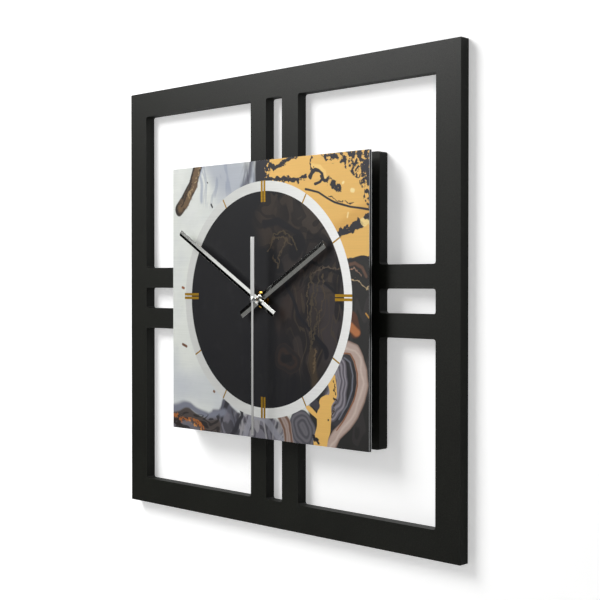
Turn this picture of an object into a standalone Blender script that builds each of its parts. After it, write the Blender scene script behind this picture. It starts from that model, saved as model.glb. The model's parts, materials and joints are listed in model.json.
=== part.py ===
"""Wall clock: a milled MDF frame sheet, a composite dial plate on stand-off blocks, and a quartz movement.

Units are metres. The clock hangs against the plane Y = 0 and faces -Y, X is to the right of someone looking
at it, and Z is up. The origin is the centre of the wall screw's shank where it bears in the keyhole hanger.
A distance called "out" is measured from the wall towards the room, so that out = -Y. Outlines are lists of
(x, z) points about the piece's own axis, and every angle is counted clockwise from 12 o'clock.
"""

import math

import bmesh
import bpy
from mathutils import Vector

MM = 0.001

# Clearances
TOUCH_GAP = 0.3 * MM  # between pieces that rest on each other
THIN_GAP = 0.1 * MM  # between thin layers, and around small parts that are fitted together
RUN_GAP = 0.15 * MM  # around a part that turns inside another
PLAY = 0.4 * MM  # between a wheel and the plate or bridge beside it
PAST = 1 * MM  # that a cutter reaches past the face it cuts
JOIN = 0.4 * MM  # that two joined solids reach into each other

# Frame sheet
SHEET_SIDE = 400 * MM
SHEET_THICKNESS = 10 * MM
RAIL_WIDTH = 23.6 * MM
BAR_WIDTH = 19.4 * MM
SLOT_WIDTH = 19.6 * MM
PANEL_SIDE = 240.4 * MM
CUTTER_RADIUS = 2 * MM  # of the router bit that leaves the inside corners round

# Dial plate and the blocks behind it
PLATE_SIDE = 241 * MM
SKIN_THICKNESS = 0.4 * MM
CORE_THICKNESS = 2 * MM
BLOCK_SIDE = 30 * MM
BLOCK_INSET = 36 * MM  # from the panel's edge to a block's centre

# Hanger
HANGER_WIDTH = 42 * MM
HANGER_HEIGHT = 17 * MM
HANGER_THICKNESS = 1.5 * MM
HANGER_DEPTH = 0.4 * MM  # of the hanger's rear face below the sheet's back
KEYHOLE_HEAD_RADIUS = 4.6 * MM
KEYHOLE_SLOT_WIDTH = 4.6 * MM
KEYHOLE_DROP = 7 * MM  # from the shank's place to the centre of the round hole
KEYHOLE_ROOM = 1 * MM  # around the keyhole in the pocket behind it
POCKET_COVER = 3.5 * MM  # of sheet left in front of the keyhole's pocket
SCREW_SPACING = 32 * MM
SCREW_COVER = 1.6 * MM  # of sheet left in front of a screw's pilot hole
SCREW_HEAD_RADIUS = 2.8 * MM
SCREW_SHANK_RADIUS = 1.3 * MM

# Battery and movement case
BATTERY_RADIUS = 7 * MM
BATTERY_LENGTH = 49.2 * MM
BATTERY_NUB_RADIUS = 2.7 * MM
BATTERY_NUB_LENGTH = 1 * MM
BATTERY_EDGE = 0.5 * MM
BATTERY_SINK = 0.3 * MM  # of the battery below the open back of its bay
BAY_CLEARANCE = 0.7 * MM  # above and below the battery
CONTACT_THICKNESS = 0.4 * MM
CONTACT_WIDTH = 4 * MM
CONTACT_END = 3.5 * MM  # that a contact strip runs on past the place where it serves
SPRING_ROOM = 2.2 * MM  # between the spring's foot and the battery's flat end
SPRING_FOOT = 4.9 * MM  # from the battery's axis down to the bend at the wall
SPRING_NEAR = 0.7 * MM  # from the battery's axis down to the bend that bears on it
SPRING_TIP = 2.8 * MM  # from the battery's axis up to the spring's free end
CASE_WALL = 1.2 * MM
CASE_CORNER = 3 * MM
CASE_TOP = 20 * MM  # from the dial's axis to the top of the case
CASE_ROOM = 3 * MM  # around the case in the frame sheet
DIVIDER = 1 * MM
COVER_THICKNESS = 1.2 * MM
WALL_ROOM = 0.9 * MM  # between the setting knob and the wall
GASKET_THICKNESS = 0.8 * MM
GASKET_WIDTH = 5 * MM

# Shafts, all on the dial's axis and each inside the next
ARBOR_RADIUS = 0.4 * MM
TUBE_WALL = 0.95 * MM
PIPE_WALL = 0.85 * MM
BUSH_WALL = 1.25 * MM

# Bush, washer and nut that hold the movement in the plate
BUSH_PROUD = 0.7 * MM  # of the nut's front face
BUSH_FLANGE_WIDTH = 1 * MM
BUSH_FLANGE_THICKNESS = 0.6 * MM
WASHER_WIDTH = 2.9 * MM
WASHER_THICKNESS = 0.5 * MM
NUT_WIDTH = 3.3 * MM  # from the thread out to a corner
NUT_THICKNESS = 2.4 * MM

# Hands
HOUR_LENGTH = 89.5 * MM
HOUR_TAIL = 26 * MM
HOUR_WIDTH = 6.6 * MM
HOUR_ANGLE = 59.0
MINUTE_LENGTH = 118 * MM
MINUTE_TAIL = 24 * MM
MINUTE_WIDTH = 5.6 * MM
MINUTE_ANGLE = 300.9
BLADE_EDGE = 0.3 * MM
BLADE_RIDGE = 1 * MM
SECOND_LENGTH = 116.5 * MM
SECOND_WIDTH = 2.4 * MM
SECOND_TAIL = 54 * MM
SECOND_TAIL_WIDTH = 4.6 * MM
SECOND_THICKNESS = 0.5 * MM
SECOND_ANGLE = 180.0
NUT_ROOM = 1.7 * MM  # between the nut and the hour hand
HAND_ROOM = 0.8 * MM  # between the hour hand's collet and the minute hand
CAP_ROOM = 0.6 * MM  # between the minute hand's collet and the cap
COLLET_WALL = 0.5 * MM
COLLET_LIP = 0.9 * MM  # that the collet's front lip reaches over the blade
COLLET_LIP_THICKNESS = 0.4 * MM
EYE_RIM = 1.3 * MM  # of the blade's round eye, outside the collet
CAP_RADIUS = 2.6 * MM
CAP_DOME = 1.1 * MM
CAP_STEP = 1.2 * MM  # from the dome's rim in to the cap's stem
CAP_SOCKET = 3.6 * MM

# Gear train. Tooth counts give one turn of the second hand for 30 of the rotor and one of the centre wheel
# for 60 of the second hand, and one turn of the hour wheel for 12 of the minute tube.
ROTOR_PINION = 8
INTERMEDIATE_WHEEL = 48
INTERMEDIATE_PINION = 8
SECOND_WHEEL = 40
SECOND_PINION = 8
THIRD_WHEEL = 60
THIRD_PINION = 8
CENTRE_WHEEL = 64
CANNON_PINION = 12
MINUTE_WHEEL = 36
MINUTE_PINION = 10
HOUR_WHEEL = 40
WHEEL_ADDENDUM = 0.95  # tooth heights, in modules
WHEEL_DEDENDUM = 1.15
PINION_ADDENDUM = 0.75
PINION_DEDENDUM = 1.05
ROTOR_DISTANCE = 5.6 * MM
INTERMEDIATE_DISTANCE = 6.24 * MM
THIRD_DISTANCE = 6.12 * MM
CANNON_ROOT = 0.084 * MM  # of the cannon pinion's tooth roots outside the minute tube
ROTOR_DIRECTION = 300.0  # as seen from the intermediate wheel
INTERMEDIATE_DIRECTION = 330.0
THIRD_DIRECTION = 220.0
MOTION_DIRECTION = 100.0
WHEEL_THICKNESS = 0.8 * MM
WHEEL_ROOM = 0.7 * MM  # between one wheel's level and the next
ROTOR_RADIUS = 3 * MM
ROTOR_GAP = 0.4 * MM  # between the magnet and the stator
PIVOT_RADIUS = 0.35 * MM
SPINDLE_RADIUS = 0.7 * MM  # of the setting spindle
KNOB_RADIUS = 5 * MM
KNOB_THICKNESS = 2.2 * MM
KNOB_SKIN = 0.8 * MM  # of solid knob behind the spindle's end
KNOB_RIBS = 18
KNOB_RIB_DEPTH = 0.3 * MM
BRIDGE_THICKNESS = 0.8 * MM
BRIDGE_LEFT = 13.5 * MM  # from the dial's axis to the bridges' edges
BRIDGE_RIGHT = 14 * MM
BRIDGE_BELOW = 14 * MM

# Coil and circuit
STATOR_THICKNESS = 0.6 * MM
STATOR_RIM = 0.6 * MM  # of steel around the rotor's hole
STATOR_ARM = 3.6 * MM
STATOR_END = 2 * MM  # of an arm past the coil's core
CORE_MARGIN = 0.8 * MM  # from the core's end to the arm's edge
COIL_CORE_THICKNESS = 0.8 * MM
CORE_WIDTH = 2 * MM
COIL_LENGTH = 19 * MM
BOBBIN_SIDE = 5 * MM
BOBBIN_FLANGE = 0.8 * MM
BOBBIN_WALL = 0.4 * MM
BOARD_WIDTH = 12 * MM
BOARD_HEIGHT = 19 * MM
BOARD_THICKNESS = 1 * MM
CRYSTAL_RADIUS = 1 * MM
CRYSTAL_LENGTH = 6 * MM
CRYSTAL_EDGE = 0.4 * MM
CRYSTAL_HEIGHT = 6 * MM  # from the board's lower edge
CHIP_RADIUS = 3 * MM
CHIP_THICKNESS = 1.1 * MM
CHIP_HEIGHT = 14 * MM  # from the board's lower edge

# Sizes that follow from what goes inside
MINUTE_TUBE_RADIUS = ARBOR_RADIUS + RUN_GAP + TUBE_WALL
HOUR_PIPE_RADIUS = MINUTE_TUBE_RADIUS + RUN_GAP + PIPE_WALL
BUSH_RADIUS = HOUR_PIPE_RADIUS + RUN_GAP + BUSH_WALL
THREAD_RADIUS = BUSH_RADIUS + THIN_GAP  # of the holes that fit the bush
BUSH_FLANGE_RADIUS = BUSH_RADIUS + BUSH_FLANGE_WIDTH
CANNON_MODULE = (MINUTE_TUBE_RADIUS + CANNON_ROOT) / (CANNON_PINION / 2 - PINION_DEDENDUM)
MOTION_DISTANCE = CANNON_MODULE * (CANNON_PINION + MINUTE_WHEEL) / 2
LEVEL_STEP = WHEEL_THICKNESS + WHEEL_ROOM
TRAIN_DEPTH = 4 * PLAY + 2 * WHEEL_THICKNESS + 4 * LEVEL_STEP + 2 * BRIDGE_THICKNESS
CIRCUIT_DEPTH = THIN_GAP + 2 * CRYSTAL_RADIUS + TOUCH_GAP
BAY_DEPTH = THIN_GAP + 2 * BATTERY_RADIUS + BATTERY_SINK
CASE_DEPTH = CASE_WALL + max(TRAIN_DEPTH + CIRCUIT_DEPTH + COVER_THICKNESS, BAY_DEPTH)
BATTERY_ROOM = BATTERY_LENGTH + BATTERY_NUB_LENGTH + 2 * CONTACT_THICKNESS + 4 * THIN_GAP
CASE_SIDE = BATTERY_ROOM + SPRING_ROOM + 2 * CASE_WALL

# Levels, as distances out from the wall
KNOB_BACK = WALL_ROOM
CASE_BACK = KNOB_BACK + KNOB_THICKNESS + TOUCH_GAP
CASE_FRONT = CASE_BACK + CASE_DEPTH
CASE_FLOOR = CASE_FRONT - CASE_WALL
COVER_FRONT = CASE_BACK + COVER_THICKNESS
GASKET_BACK = CASE_FRONT + THIN_GAP
PLATE_BACK = GASKET_BACK + GASKET_THICKNESS + THIN_GAP
PLATE_FRONT = PLATE_BACK + 2 * SKIN_THICKNESS + CORE_THICKNESS + 2 * THIN_GAP
HOUR_LEVEL = CASE_FLOOR - PLAY - WHEEL_THICKNESS
CANNON_LEVEL = HOUR_LEVEL - LEVEL_STEP
MIDDLE_PLATE_BACK = CANNON_LEVEL - PLAY - BRIDGE_THICKNESS
CENTRE_LEVEL = MIDDLE_PLATE_BACK - PLAY - WHEEL_THICKNESS
THIRD_LEVEL = CENTRE_LEVEL - LEVEL_STEP
SECOND_LEVEL = THIRD_LEVEL - LEVEL_STEP
INTERMEDIATE_LEVEL = SECOND_LEVEL - LEVEL_STEP
REAR_BRIDGE_FRONT = INTERMEDIATE_LEVEL - PLAY
REAR_BRIDGE_BACK = REAR_BRIDGE_FRONT - BRIDGE_THICKNESS
WASHER_BACK = PLATE_FRONT + THIN_GAP
NUT_BACK = WASHER_BACK + WASHER_THICKNESS + THIN_GAP
NUT_FRONT = NUT_BACK + NUT_THICKNESS
HOUR_BACK = NUT_FRONT + NUT_ROOM
HOUR_PIPE_FRONT = HOUR_BACK + BLADE_RIDGE + COLLET_LIP_THICKNESS
MINUTE_BACK = HOUR_PIPE_FRONT + HAND_ROOM
MINUTE_TUBE_FRONT = MINUTE_BACK + BLADE_RIDGE + COLLET_LIP_THICKNESS
SECOND_BACK = MINUTE_TUBE_FRONT + CAP_ROOM + CAP_SOCKET

# Places in the dial's plane, about the dial's axis
RAIL_CENTRE = (SHEET_SIDE - RAIL_WIDTH) / 2
HOOK_HEIGHT = RAIL_CENTRE + KEYHOLE_DROP / 2
CASE_BOTTOM = CASE_TOP - CASE_SIDE
BAY_BOTTOM = CASE_BOTTOM + CASE_WALL
BAY_TOP = BAY_BOTTOM + 2 * (BATTERY_RADIUS + BAY_CLEARANCE)
CHAMBER_BOTTOM = BAY_TOP + DIVIDER
CHAMBER_TOP = CASE_TOP - CASE_WALL
CHAMBER_HALF = CASE_SIDE / 2 - CASE_WALL

FINE_SIDES = 24
SMALL_SIDES = 12


def clear_scene():
    """Remove every object that the file starts with."""
    for old in list(bpy.data.objects):
        bpy.data.objects.remove(old, do_unlink=True)


def towards(direction, distance):
    """The (x, z) point at a distance from the axis, in a clock direction in degrees."""
    angle = math.radians(direction)
    return distance * math.sin(angle), distance * math.cos(angle)


def moved(outline, x, z):
    """The outline shifted by (x, z)."""
    return [(px + x, pz + z) for px, pz in outline]


def rectangle(x_low, x_high, z_low, z_high):
    """The four corners of a rectangle, in order."""
    return [(x_low, z_low), (x_high, z_low), (x_high, z_high), (x_low, z_high)]


def circle(radius, sides=FINE_SIDES):
    """A regular polygon whose corners lie on the circle."""
    return [towards(360 * i / sides, radius) for i in range(sides)]


def rounded(corners, radius, steps=3):
    """The outline with each right-angled corner replaced by a quarter circle."""
    points = [Vector(corner) for corner in corners]
    outline = []
    for before, corner, after in zip(points[-1:] + points, points, points[1:] + points[:1]):
        to_before = (before - corner).normalized()
        to_after = (after - corner).normalized()
        for step in range(steps + 1):
            turn = math.radians(90 * step / steps)
            back, ahead = 1 - math.sin(turn), 1 - math.cos(turn)
            outline.append(tuple(corner + radius * (back * to_before + ahead * to_after)))
    return outline


def module_of(distance, teeth, other_teeth):
    """The module that brings two gears into mesh at a centre distance."""
    return 2 * distance / (teeth + other_teeth)


def toothed(teeth, module, phase, tooth, addendum, dedendum):
    """An outline that repeats a tooth, given as (share of the pitch, is it at the tip) points."""
    tip = module * (teeth / 2 + addendum)
    root = module * (teeth / 2 - dedendum)
    pitch = 360 / teeth
    return [
        towards(phase + (number + share) * pitch, tip if at_tip else root)
        for number in range(teeth)
        for share, at_tip in tooth
    ]


def wheel(teeth, module, phase=0.0):
    """A wheel's outline with fine pointed teeth, the first of them in the direction of the phase."""
    tooth = ((-0.27, False), (0, True), (0.27, False))
    return toothed(teeth, module, phase, tooth, WHEEL_ADDENDUM, WHEEL_DEDENDUM)


def pinion(teeth, module, phase=0.0):
    """A pinion's outline with slim flat-topped teeth, the first of them in the direction of the phase."""
    tooth = ((-0.29, False), (-0.1, True), (0.1, True), (0.29, False))
    return toothed(teeth, module, phase, tooth, PINION_ADDENDUM, PINION_DEDENDUM)


def meshing_phase(teeth, phase, direction, other_teeth):
    """The phase of the other gear, which lies in that direction from a gear and is in mesh with it."""
    pitch, other_pitch = 360 / teeth, 360 / other_teeth
    past_tooth = (direction - phase) / pitch % 1
    return direction + 180 - other_pitch * (0.5 - past_tooth)


def prism(outer, holes, out_low, out_high):
    """A solid between two distances out, with the given outline and holes."""
    bm = bmesh.new()
    for outline in [outer, *holes]:
        points = [bm.verts.new((x, -out_low, z)) for x, z in outline]
        for start, end in zip(points, points[1:] + points[:1]):
            bm.edges.new((start, end))
    bmesh.ops.triangle_fill(bm, use_beauty=True, edges=bm.edges[:], normal=(0, 1, 0))
    raised = bmesh.ops.extrude_face_region(bm, geom=bm.faces[:])
    front = [item for item in raised["geom"] if isinstance(item, bmesh.types.BMVert)]
    bmesh.ops.translate(bm, verts=front, vec=(0, out_low - out_high, 0))
    bmesh.ops.recalc_face_normals(bm, faces=bm.faces[:])
    return bm


def turned(profile, sides=FINE_SIDES):
    """A solid turned about the axis from the (radius, out) points around its section."""
    bm = bmesh.new()
    points = [bm.verts.new((0, -out, radius)) for radius, out in profile]
    pairs = zip(points, points[1:] + points[:1])
    edges = [bm.edges.new((start, end)) for start, end in pairs if start.co.z or end.co.z]
    around = {"cent": (0, 0, 0), "axis": (0, 1, 0), "angle": math.tau}
    bmesh.ops.spin(bm, geom=points + edges, steps=sides, use_merge=True, **around)
    bmesh.ops.remove_doubles(bm, verts=bm.verts[:], dist=1e-7)
    bmesh.ops.recalc_face_normals(bm, faces=bm.faces[:])
    return bm


def helper(bm):
    """A hidden object that holds a step of a Boolean."""
    mesh = bpy.data.meshes.new("helper")
    bm.to_mesh(mesh)
    bm.free()
    found = bpy.data.objects.new("helper", mesh)
    found.hide_render = True
    found.display_type = "WIRE"
    bpy.context.scene.collection.objects.link(found)
    return found


def combined(base, others, operation):
    """The base with each other solid joined to it (UNION) or cut from it (DIFFERENCE)."""
    body = helper(base)
    tools = [helper(other) for other in others]
    for tool in tools:
        step = body.modifiers.new("step", "BOOLEAN")
        step.operation = operation
        step.solver = "EXACT"
        step.object = tool
    graph = bpy.context.evaluated_depsgraph_get()
    result = bmesh.new()
    result.from_object(body, graph)
    for used in [body, *tools]:
        bpy.data.objects.remove(used, do_unlink=True)
    return result


def finish(name, colour, roughness, metallic):
    """A Principled material with a linear colour."""
    material = bpy.data.materials.new(name)
    material.use_nodes = True
    shader = material.node_tree.nodes["Principled BSDF"]
    shader.inputs["Base Color"].default_value = (*colour, 1)
    shader.inputs["Roughness"].default_value = roughness
    shader.inputs["Metallic"].default_value = metallic
    material.diffuse_color = (*colour, 1)
    return material


def empty(name, parent=None, place=(0, 0)):
    """An empty on an axis that runs along Y through the given (x, z) place."""
    found = bpy.data.objects.new(name, None)
    found.empty_display_size = 10 * MM
    found.location = (place[0], 0, place[1])
    found.parent = parent
    bpy.context.scene.collection.objects.link(found)
    return found


def piece(name, bm, material, parent, angle=0.0):
    """A named sub-part made from a bmesh, turned clockwise about its parent's axis."""
    mesh = bpy.data.meshes.new(name)
    bm.to_mesh(mesh)
    bm.free()
    mesh.materials.append(material)
    mesh.shade_smooth()
    mesh.set_sharp_from_angle(angle=math.radians(30))
    made = bpy.data.objects.new(name, mesh)
    made.parent = parent
    made.rotation_euler = (0, math.radians(angle), 0)
    bpy.context.scene.collection.objects.link(made)
    return made


# ---- Frame sheet and hanger ----


def window_outline(right, up):
    """The L-shaped window of one quarter of the sheet, with the router's round corners."""
    near = SLOT_WIDTH / 2 + BAR_WIDTH
    far = SHEET_SIDE / 2 - RAIL_WIDTH
    panel = PANEL_SIDE / 2
    corners = [(near, far), (far, far), (far, near), (panel, near), (panel, panel), (near, panel)]
    return rounded([(x * right, z * up) for x, z in corners], CUTTER_RADIUS)


def slot_outline(direction):
    """The short slot between two bars, from the panel to the rail."""
    corners = rectangle(-SLOT_WIDTH / 2, SLOT_WIDTH / 2, PANEL_SIDE / 2, SHEET_SIDE / 2 - RAIL_WIDTH)
    sine, cosine = round(math.sin(math.radians(direction))), round(math.cos(math.radians(direction)))
    turned_corners = [(x * cosine + z * sine, z * cosine - x * sine) for x, z in corners]
    return rounded(turned_corners, CUTTER_RADIUS)


def keyhole_outline(margin=0.0):
    """A round hole with a slot above it, widened all round by the margin. Its slot ends round the shank."""
    slot, head = KEYHOLE_SLOT_WIDTH / 2 + margin, KEYHOLE_HEAD_RADIUS + margin
    meet = math.degrees(math.asin(slot / head))
    steps = 14
    around = [towards(meet + (360 - 2 * meet) * i / steps, head) for i in range(steps + 1)]
    over = [towards(-90 + 180 * i / 6, slot) for i in range(7)]
    return moved(around, 0, HOOK_HEIGHT - KEYHOLE_DROP) + moved(over, 0, HOOK_HEIGHT)


def screw_places():
    """The (x, z) places of the hanger's two screws."""
    return [(side * SCREW_SPACING / 2, RAIL_CENTRE) for side in (-1, 1)]


def screw_profile(margin=0.0, open_to=None):
    """A countersunk wood screw's profile. A hole for it is wider, and open at the head."""
    head_out = HANGER_DEPTH + THIN_GAP
    neck_out = head_out + SCREW_HEAD_RADIUS - SCREW_SHANK_RADIUS
    tip_out = SHEET_THICKNESS - SCREW_COVER - TOUCH_GAP
    head, shank = SCREW_HEAD_RADIUS + margin, SCREW_SHANK_RADIUS + margin
    start = head_out if open_to is None else open_to
    top = [(0, start), (head, start)] + ([] if open_to is None else [(head, head_out)])
    return top + [(shank, neck_out), (shank, tip_out - shank), (0, tip_out)]


def shifted(bm, place):
    """The solid moved to an (x, z) place."""
    bmesh.ops.translate(bm, verts=bm.verts[:], vec=(place[0], 0, place[1]))
    return bm


def make_frame_sheet(parent, material):
    """The square MDF sheet with its windows, slots, movement opening and hanger pockets."""
    half = SHEET_SIDE / 2
    holes = [window_outline(right, up) for right in (-1, 1) for up in (-1, 1)]
    holes += [slot_outline(direction) for direction in (0, 90, 180, 270)]
    room = CASE_SIDE / 2 + CASE_ROOM
    opening = rectangle(-room, room, CASE_BOTTOM - CASE_ROOM, CASE_TOP + CASE_ROOM)
    holes.append(rounded(opening, CASE_CORNER))
    sheet = prism(rectangle(-half, half, -half, half), holes, 0, SHEET_THICKNESS)
    wide, high = HANGER_WIDTH / 2 + TOUCH_GAP, HANGER_HEIGHT / 2 + TOUCH_GAP
    seat_depth = HANGER_DEPTH + HANGER_THICKNESS + THIN_GAP
    seat = rectangle(-wide, wide, RAIL_CENTRE - high, RAIL_CENTRE + high)
    cutters = [
        prism(seat, [], -PAST, seat_depth),
        prism(keyhole_outline(KEYHOLE_ROOM), [], -PAST, SHEET_THICKNESS - POCKET_COVER),
    ]
    for place in screw_places():
        pilot = moved(circle(SCREW_SHANK_RADIUS + THIN_GAP, SMALL_SIDES), *place)
        cutters.append(prism(pilot, [], -PAST, SHEET_THICKNESS - SCREW_COVER))
    piece("frame_sheet", combined(sheet, cutters, "DIFFERENCE"), material, parent)


def make_hanger(parent, steel, screw_steel):
    """The keyhole hanger plate in the back of the top rail, and its two screws."""
    wide, high = HANGER_WIDTH / 2, HANGER_HEIGHT / 2
    outline = rounded(rectangle(-wide, wide, RAIL_CENTRE - high, RAIL_CENTRE + high), CUTTER_RADIUS)
    plate = prism(outline, [keyhole_outline()], HANGER_DEPTH, HANGER_DEPTH + HANGER_THICKNESS)
    hole = screw_profile(THIN_GAP, -PAST)
    holes = [shifted(turned(hole, SMALL_SIDES), place) for place in screw_places()]
    piece("hanger_plate", combined(plate, holes, "DIFFERENCE"), steel, parent)
    for name, place in zip(("hanger_screw_left", "hanger_screw_right"), screw_places()):
        axis = empty(name + "_axis", parent, place)
        piece(name, turned(screw_profile(), SMALL_SIDES), screw_steel, axis)


# ---- Dial plate ----


def make_plate(parent, aluminium, polymer):
    """The composite plate: an aluminium skin on each side of a polymer core, with a hole for the bush."""
    half = PLATE_SIDE / 2
    outline = rectangle(-half, half, -half, half)
    hole = circle(BUSH_RADIUS + RUN_GAP)
    low = PLATE_BACK
    for name, thickness, material in (
        ("dial_back_skin", SKIN_THICKNESS, aluminium),
        ("dial_core", CORE_THICKNESS, polymer),
        ("dial_front_skin", SKIN_THICKNESS, aluminium),
    ):
        piece(name, prism(outline, [hole], low, low + thickness), material, parent)
        low += thickness + THIN_GAP


def make_blocks(parent, material):
    """The four blocks that stand the plate off the sheet."""
    reach = PANEL_SIDE / 2 - BLOCK_INSET
    half = BLOCK_SIDE / 2
    for level, up in (("upper", 1), ("lower", -1)):
        for side, right in (("left", -1), ("right", 1)):
            outline = rounded(rectangle(-half, half, -half, half), CUTTER_RADIUS, 2)
            outline = moved(outline, right * reach, up * reach)
            solid = prism(outline, [], SHEET_THICKNESS + TOUCH_GAP, PLATE_BACK - TOUCH_GAP)
            piece(f"standoff_block_{level}_{side}", solid, material, parent)


# ---- Movement case ----


def notch(side):
    """The gap at one end of the divider that lets a battery contact through, past the round corners."""
    reach = CASE_CORNER - CASE_WALL + THIN_GAP
    x_low, x_high = sorted((side * (CHAMBER_HALF - reach), side * CHAMBER_HALF))
    outline = rectangle(x_low, x_high, BAY_TOP - reach, CHAMBER_BOTTOM + reach)
    return prism(outline, [], CASE_BACK - PAST, CASE_FLOOR)


def make_case(parent, plastic, cover_plastic):
    """The front case with its gear chamber and battery bay, and the cover that closes the chamber."""
    half = CASE_SIDE / 2
    outline = rounded(rectangle(-half, half, CASE_BOTTOM, CASE_TOP), CASE_CORNER)
    block = prism(outline, [circle(THREAD_RADIUS)], CASE_BACK, CASE_FRONT)
    inner_corner = CASE_CORNER - CASE_WALL
    cutters = []
    for z_low, z_high in ((CHAMBER_BOTTOM, CHAMBER_TOP), (BAY_BOTTOM, BAY_TOP)):
        hollow = rounded(rectangle(-CHAMBER_HALF, CHAMBER_HALF, z_low, z_high), inner_corner, 2)
        cutters.append(prism(hollow, [], CASE_BACK - PAST, CASE_FLOOR))
    cutters += [notch(-1), notch(1)]
    piece("case_front", combined(block, cutters, "DIFFERENCE"), plastic, parent)
    cover_half = CHAMBER_HALF - THIN_GAP
    edge = rectangle(-cover_half, cover_half, CHAMBER_BOTTOM + THIN_GAP, CHAMBER_TOP - THIN_GAP)
    spindle_hole = circle(SPINDLE_RADIUS + 2 * RUN_GAP, SMALL_SIDES)
    spindle_hole = moved(spindle_hole, *towards(MOTION_DIRECTION, MOTION_DISTANCE))
    cover = prism(rounded(edge, inner_corner, 2), [spindle_hole], CASE_BACK, COVER_FRONT)
    piece("case_cover", cover, cover_plastic, parent)


def make_bush_and_nut(parent, brass, rubber):
    """The threaded bush that carries the shafts, and the gasket, washer and nut that clamp the plate."""
    bore = circle(HOUR_PIPE_RADIUS + RUN_GAP)
    tube = prism(circle(BUSH_RADIUS), [bore], CASE_FLOOR, NUT_FRONT + BUSH_PROUD)
    flange_back = CASE_FRONT + THIN_GAP / 2
    flange_front = flange_back + BUSH_FLANGE_THICKNESS
    flange = prism(circle(BUSH_FLANGE_RADIUS), [circle(BUSH_RADIUS - JOIN)], flange_back, flange_front)
    piece("threaded_bush", combined(tube, [flange], "UNION"), brass, parent)
    room = BUSH_FLANGE_RADIUS + THIN_GAP
    ring = (circle(room + GASKET_WIDTH), [circle(room)])
    piece("rubber_gasket", prism(*ring, GASKET_BACK, GASKET_BACK + GASKET_THICKNESS), rubber, parent)
    thread = [circle(THREAD_RADIUS)]
    washer = prism(circle(THREAD_RADIUS + WASHER_WIDTH), thread, WASHER_BACK, WASHER_BACK + WASHER_THICKNESS)
    piece("brass_washer", washer, brass, parent)
    nut = prism(circle(THREAD_RADIUS + NUT_WIDTH, 6), thread, NUT_BACK, NUT_FRONT)
    piece("hex_nut", nut, brass, parent)


# ---- Gear train ----


def disc(outline, level, holes=()):
    """A wheel's toothed disc at its level."""
    return prism(outline, list(holes), level, level + WHEEL_THICKNESS)


def rod(radius, out_low, out_high, sides=SMALL_SIDES):
    """A plain round rod on the axis."""
    return prism(circle(radius, sides), [], out_low, out_high)


def pinion_disc(outline, level):
    """A pinion, a little longer than the wheel that it drives."""
    return prism(outline, [], level - RUN_GAP, level + WHEEL_THICKNESS + RUN_GAP)


def make_second_train(axes, brass, plastic, magnet):
    """The wheels from the rotor to the centre wheel, each set to be in mesh with the one before it."""
    slow = module_of(INTERMEDIATE_DISTANCE, SECOND_WHEEL, INTERMEDIATE_PINION)
    fast = module_of(ROTOR_DISTANCE, INTERMEDIATE_WHEEL, ROTOR_PINION)
    third = module_of(THIRD_DISTANCE, THIRD_WHEEL, SECOND_PINION)
    centre = module_of(THIRD_DISTANCE, CENTRE_WHEEL, THIRD_PINION)
    pivot_low = REAR_BRIDGE_BACK + THIN_GAP
    pivot_high = MIDDLE_PLATE_BACK + BRIDGE_THICKNESS - THIN_GAP
    arbor = rod(ARBOR_RADIUS, pivot_low, SECOND_BACK - THIN_GAP)
    teeth = [pinion_disc(pinion(SECOND_PINION, third), THIRD_LEVEL), arbor]
    second = combined(disc(wheel(SECOND_WHEEL, slow), SECOND_LEVEL), teeth, "UNION")
    piece("second_wheel", second, brass, axes["second"])

    phase = meshing_phase(SECOND_WHEEL, 0, INTERMEDIATE_DIRECTION, INTERMEDIATE_PINION)
    teeth = pinion_disc(pinion(INTERMEDIATE_PINION, slow, phase), SECOND_LEVEL)
    pivot = rod(PIVOT_RADIUS, pivot_low, pivot_high)
    intermediate = disc(wheel(INTERMEDIATE_WHEEL, fast), INTERMEDIATE_LEVEL)
    intermediate = combined(intermediate, [teeth, pivot], "UNION")
    piece("intermediate_wheel", intermediate, plastic, axes["intermediate"])

    phase = meshing_phase(INTERMEDIATE_WHEEL, 0, ROTOR_DIRECTION, ROTOR_PINION)
    teeth = pinion_disc(pinion(ROTOR_PINION, fast, phase), INTERMEDIATE_LEVEL)
    pivot = rod(PIVOT_RADIUS, pivot_low, pivot_high)
    ring = prism(circle(ROTOR_RADIUS), [], SECOND_LEVEL, CENTRE_LEVEL - 2 * THIN_GAP)
    piece("rotor", combined(ring, [teeth, pivot], "UNION"), magnet, axes["rotor"])

    phase = meshing_phase(SECOND_PINION, 0, THIRD_DIRECTION, THIRD_WHEEL)
    teeth = pinion_disc(pinion(THIRD_PINION, centre), CENTRE_LEVEL)
    pivot = rod(PIVOT_RADIUS, pivot_low, pivot_high)
    third_disc = disc(wheel(THIRD_WHEEL, third, phase), THIRD_LEVEL)
    piece("third_wheel", combined(third_disc, [teeth, pivot], "UNION"), plastic, axes["third"])

    phase = meshing_phase(THIRD_PINION, 0, THIRD_DIRECTION + 180, CENTRE_WHEEL)
    hole = circle(MINUTE_TUBE_RADIUS + RUN_GAP)
    centre_disc = disc(wheel(CENTRE_WHEEL, centre, phase), CENTRE_LEVEL, [hole])
    piece("centre_wheel", centre_disc, plastic, axes["centre"])


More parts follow.
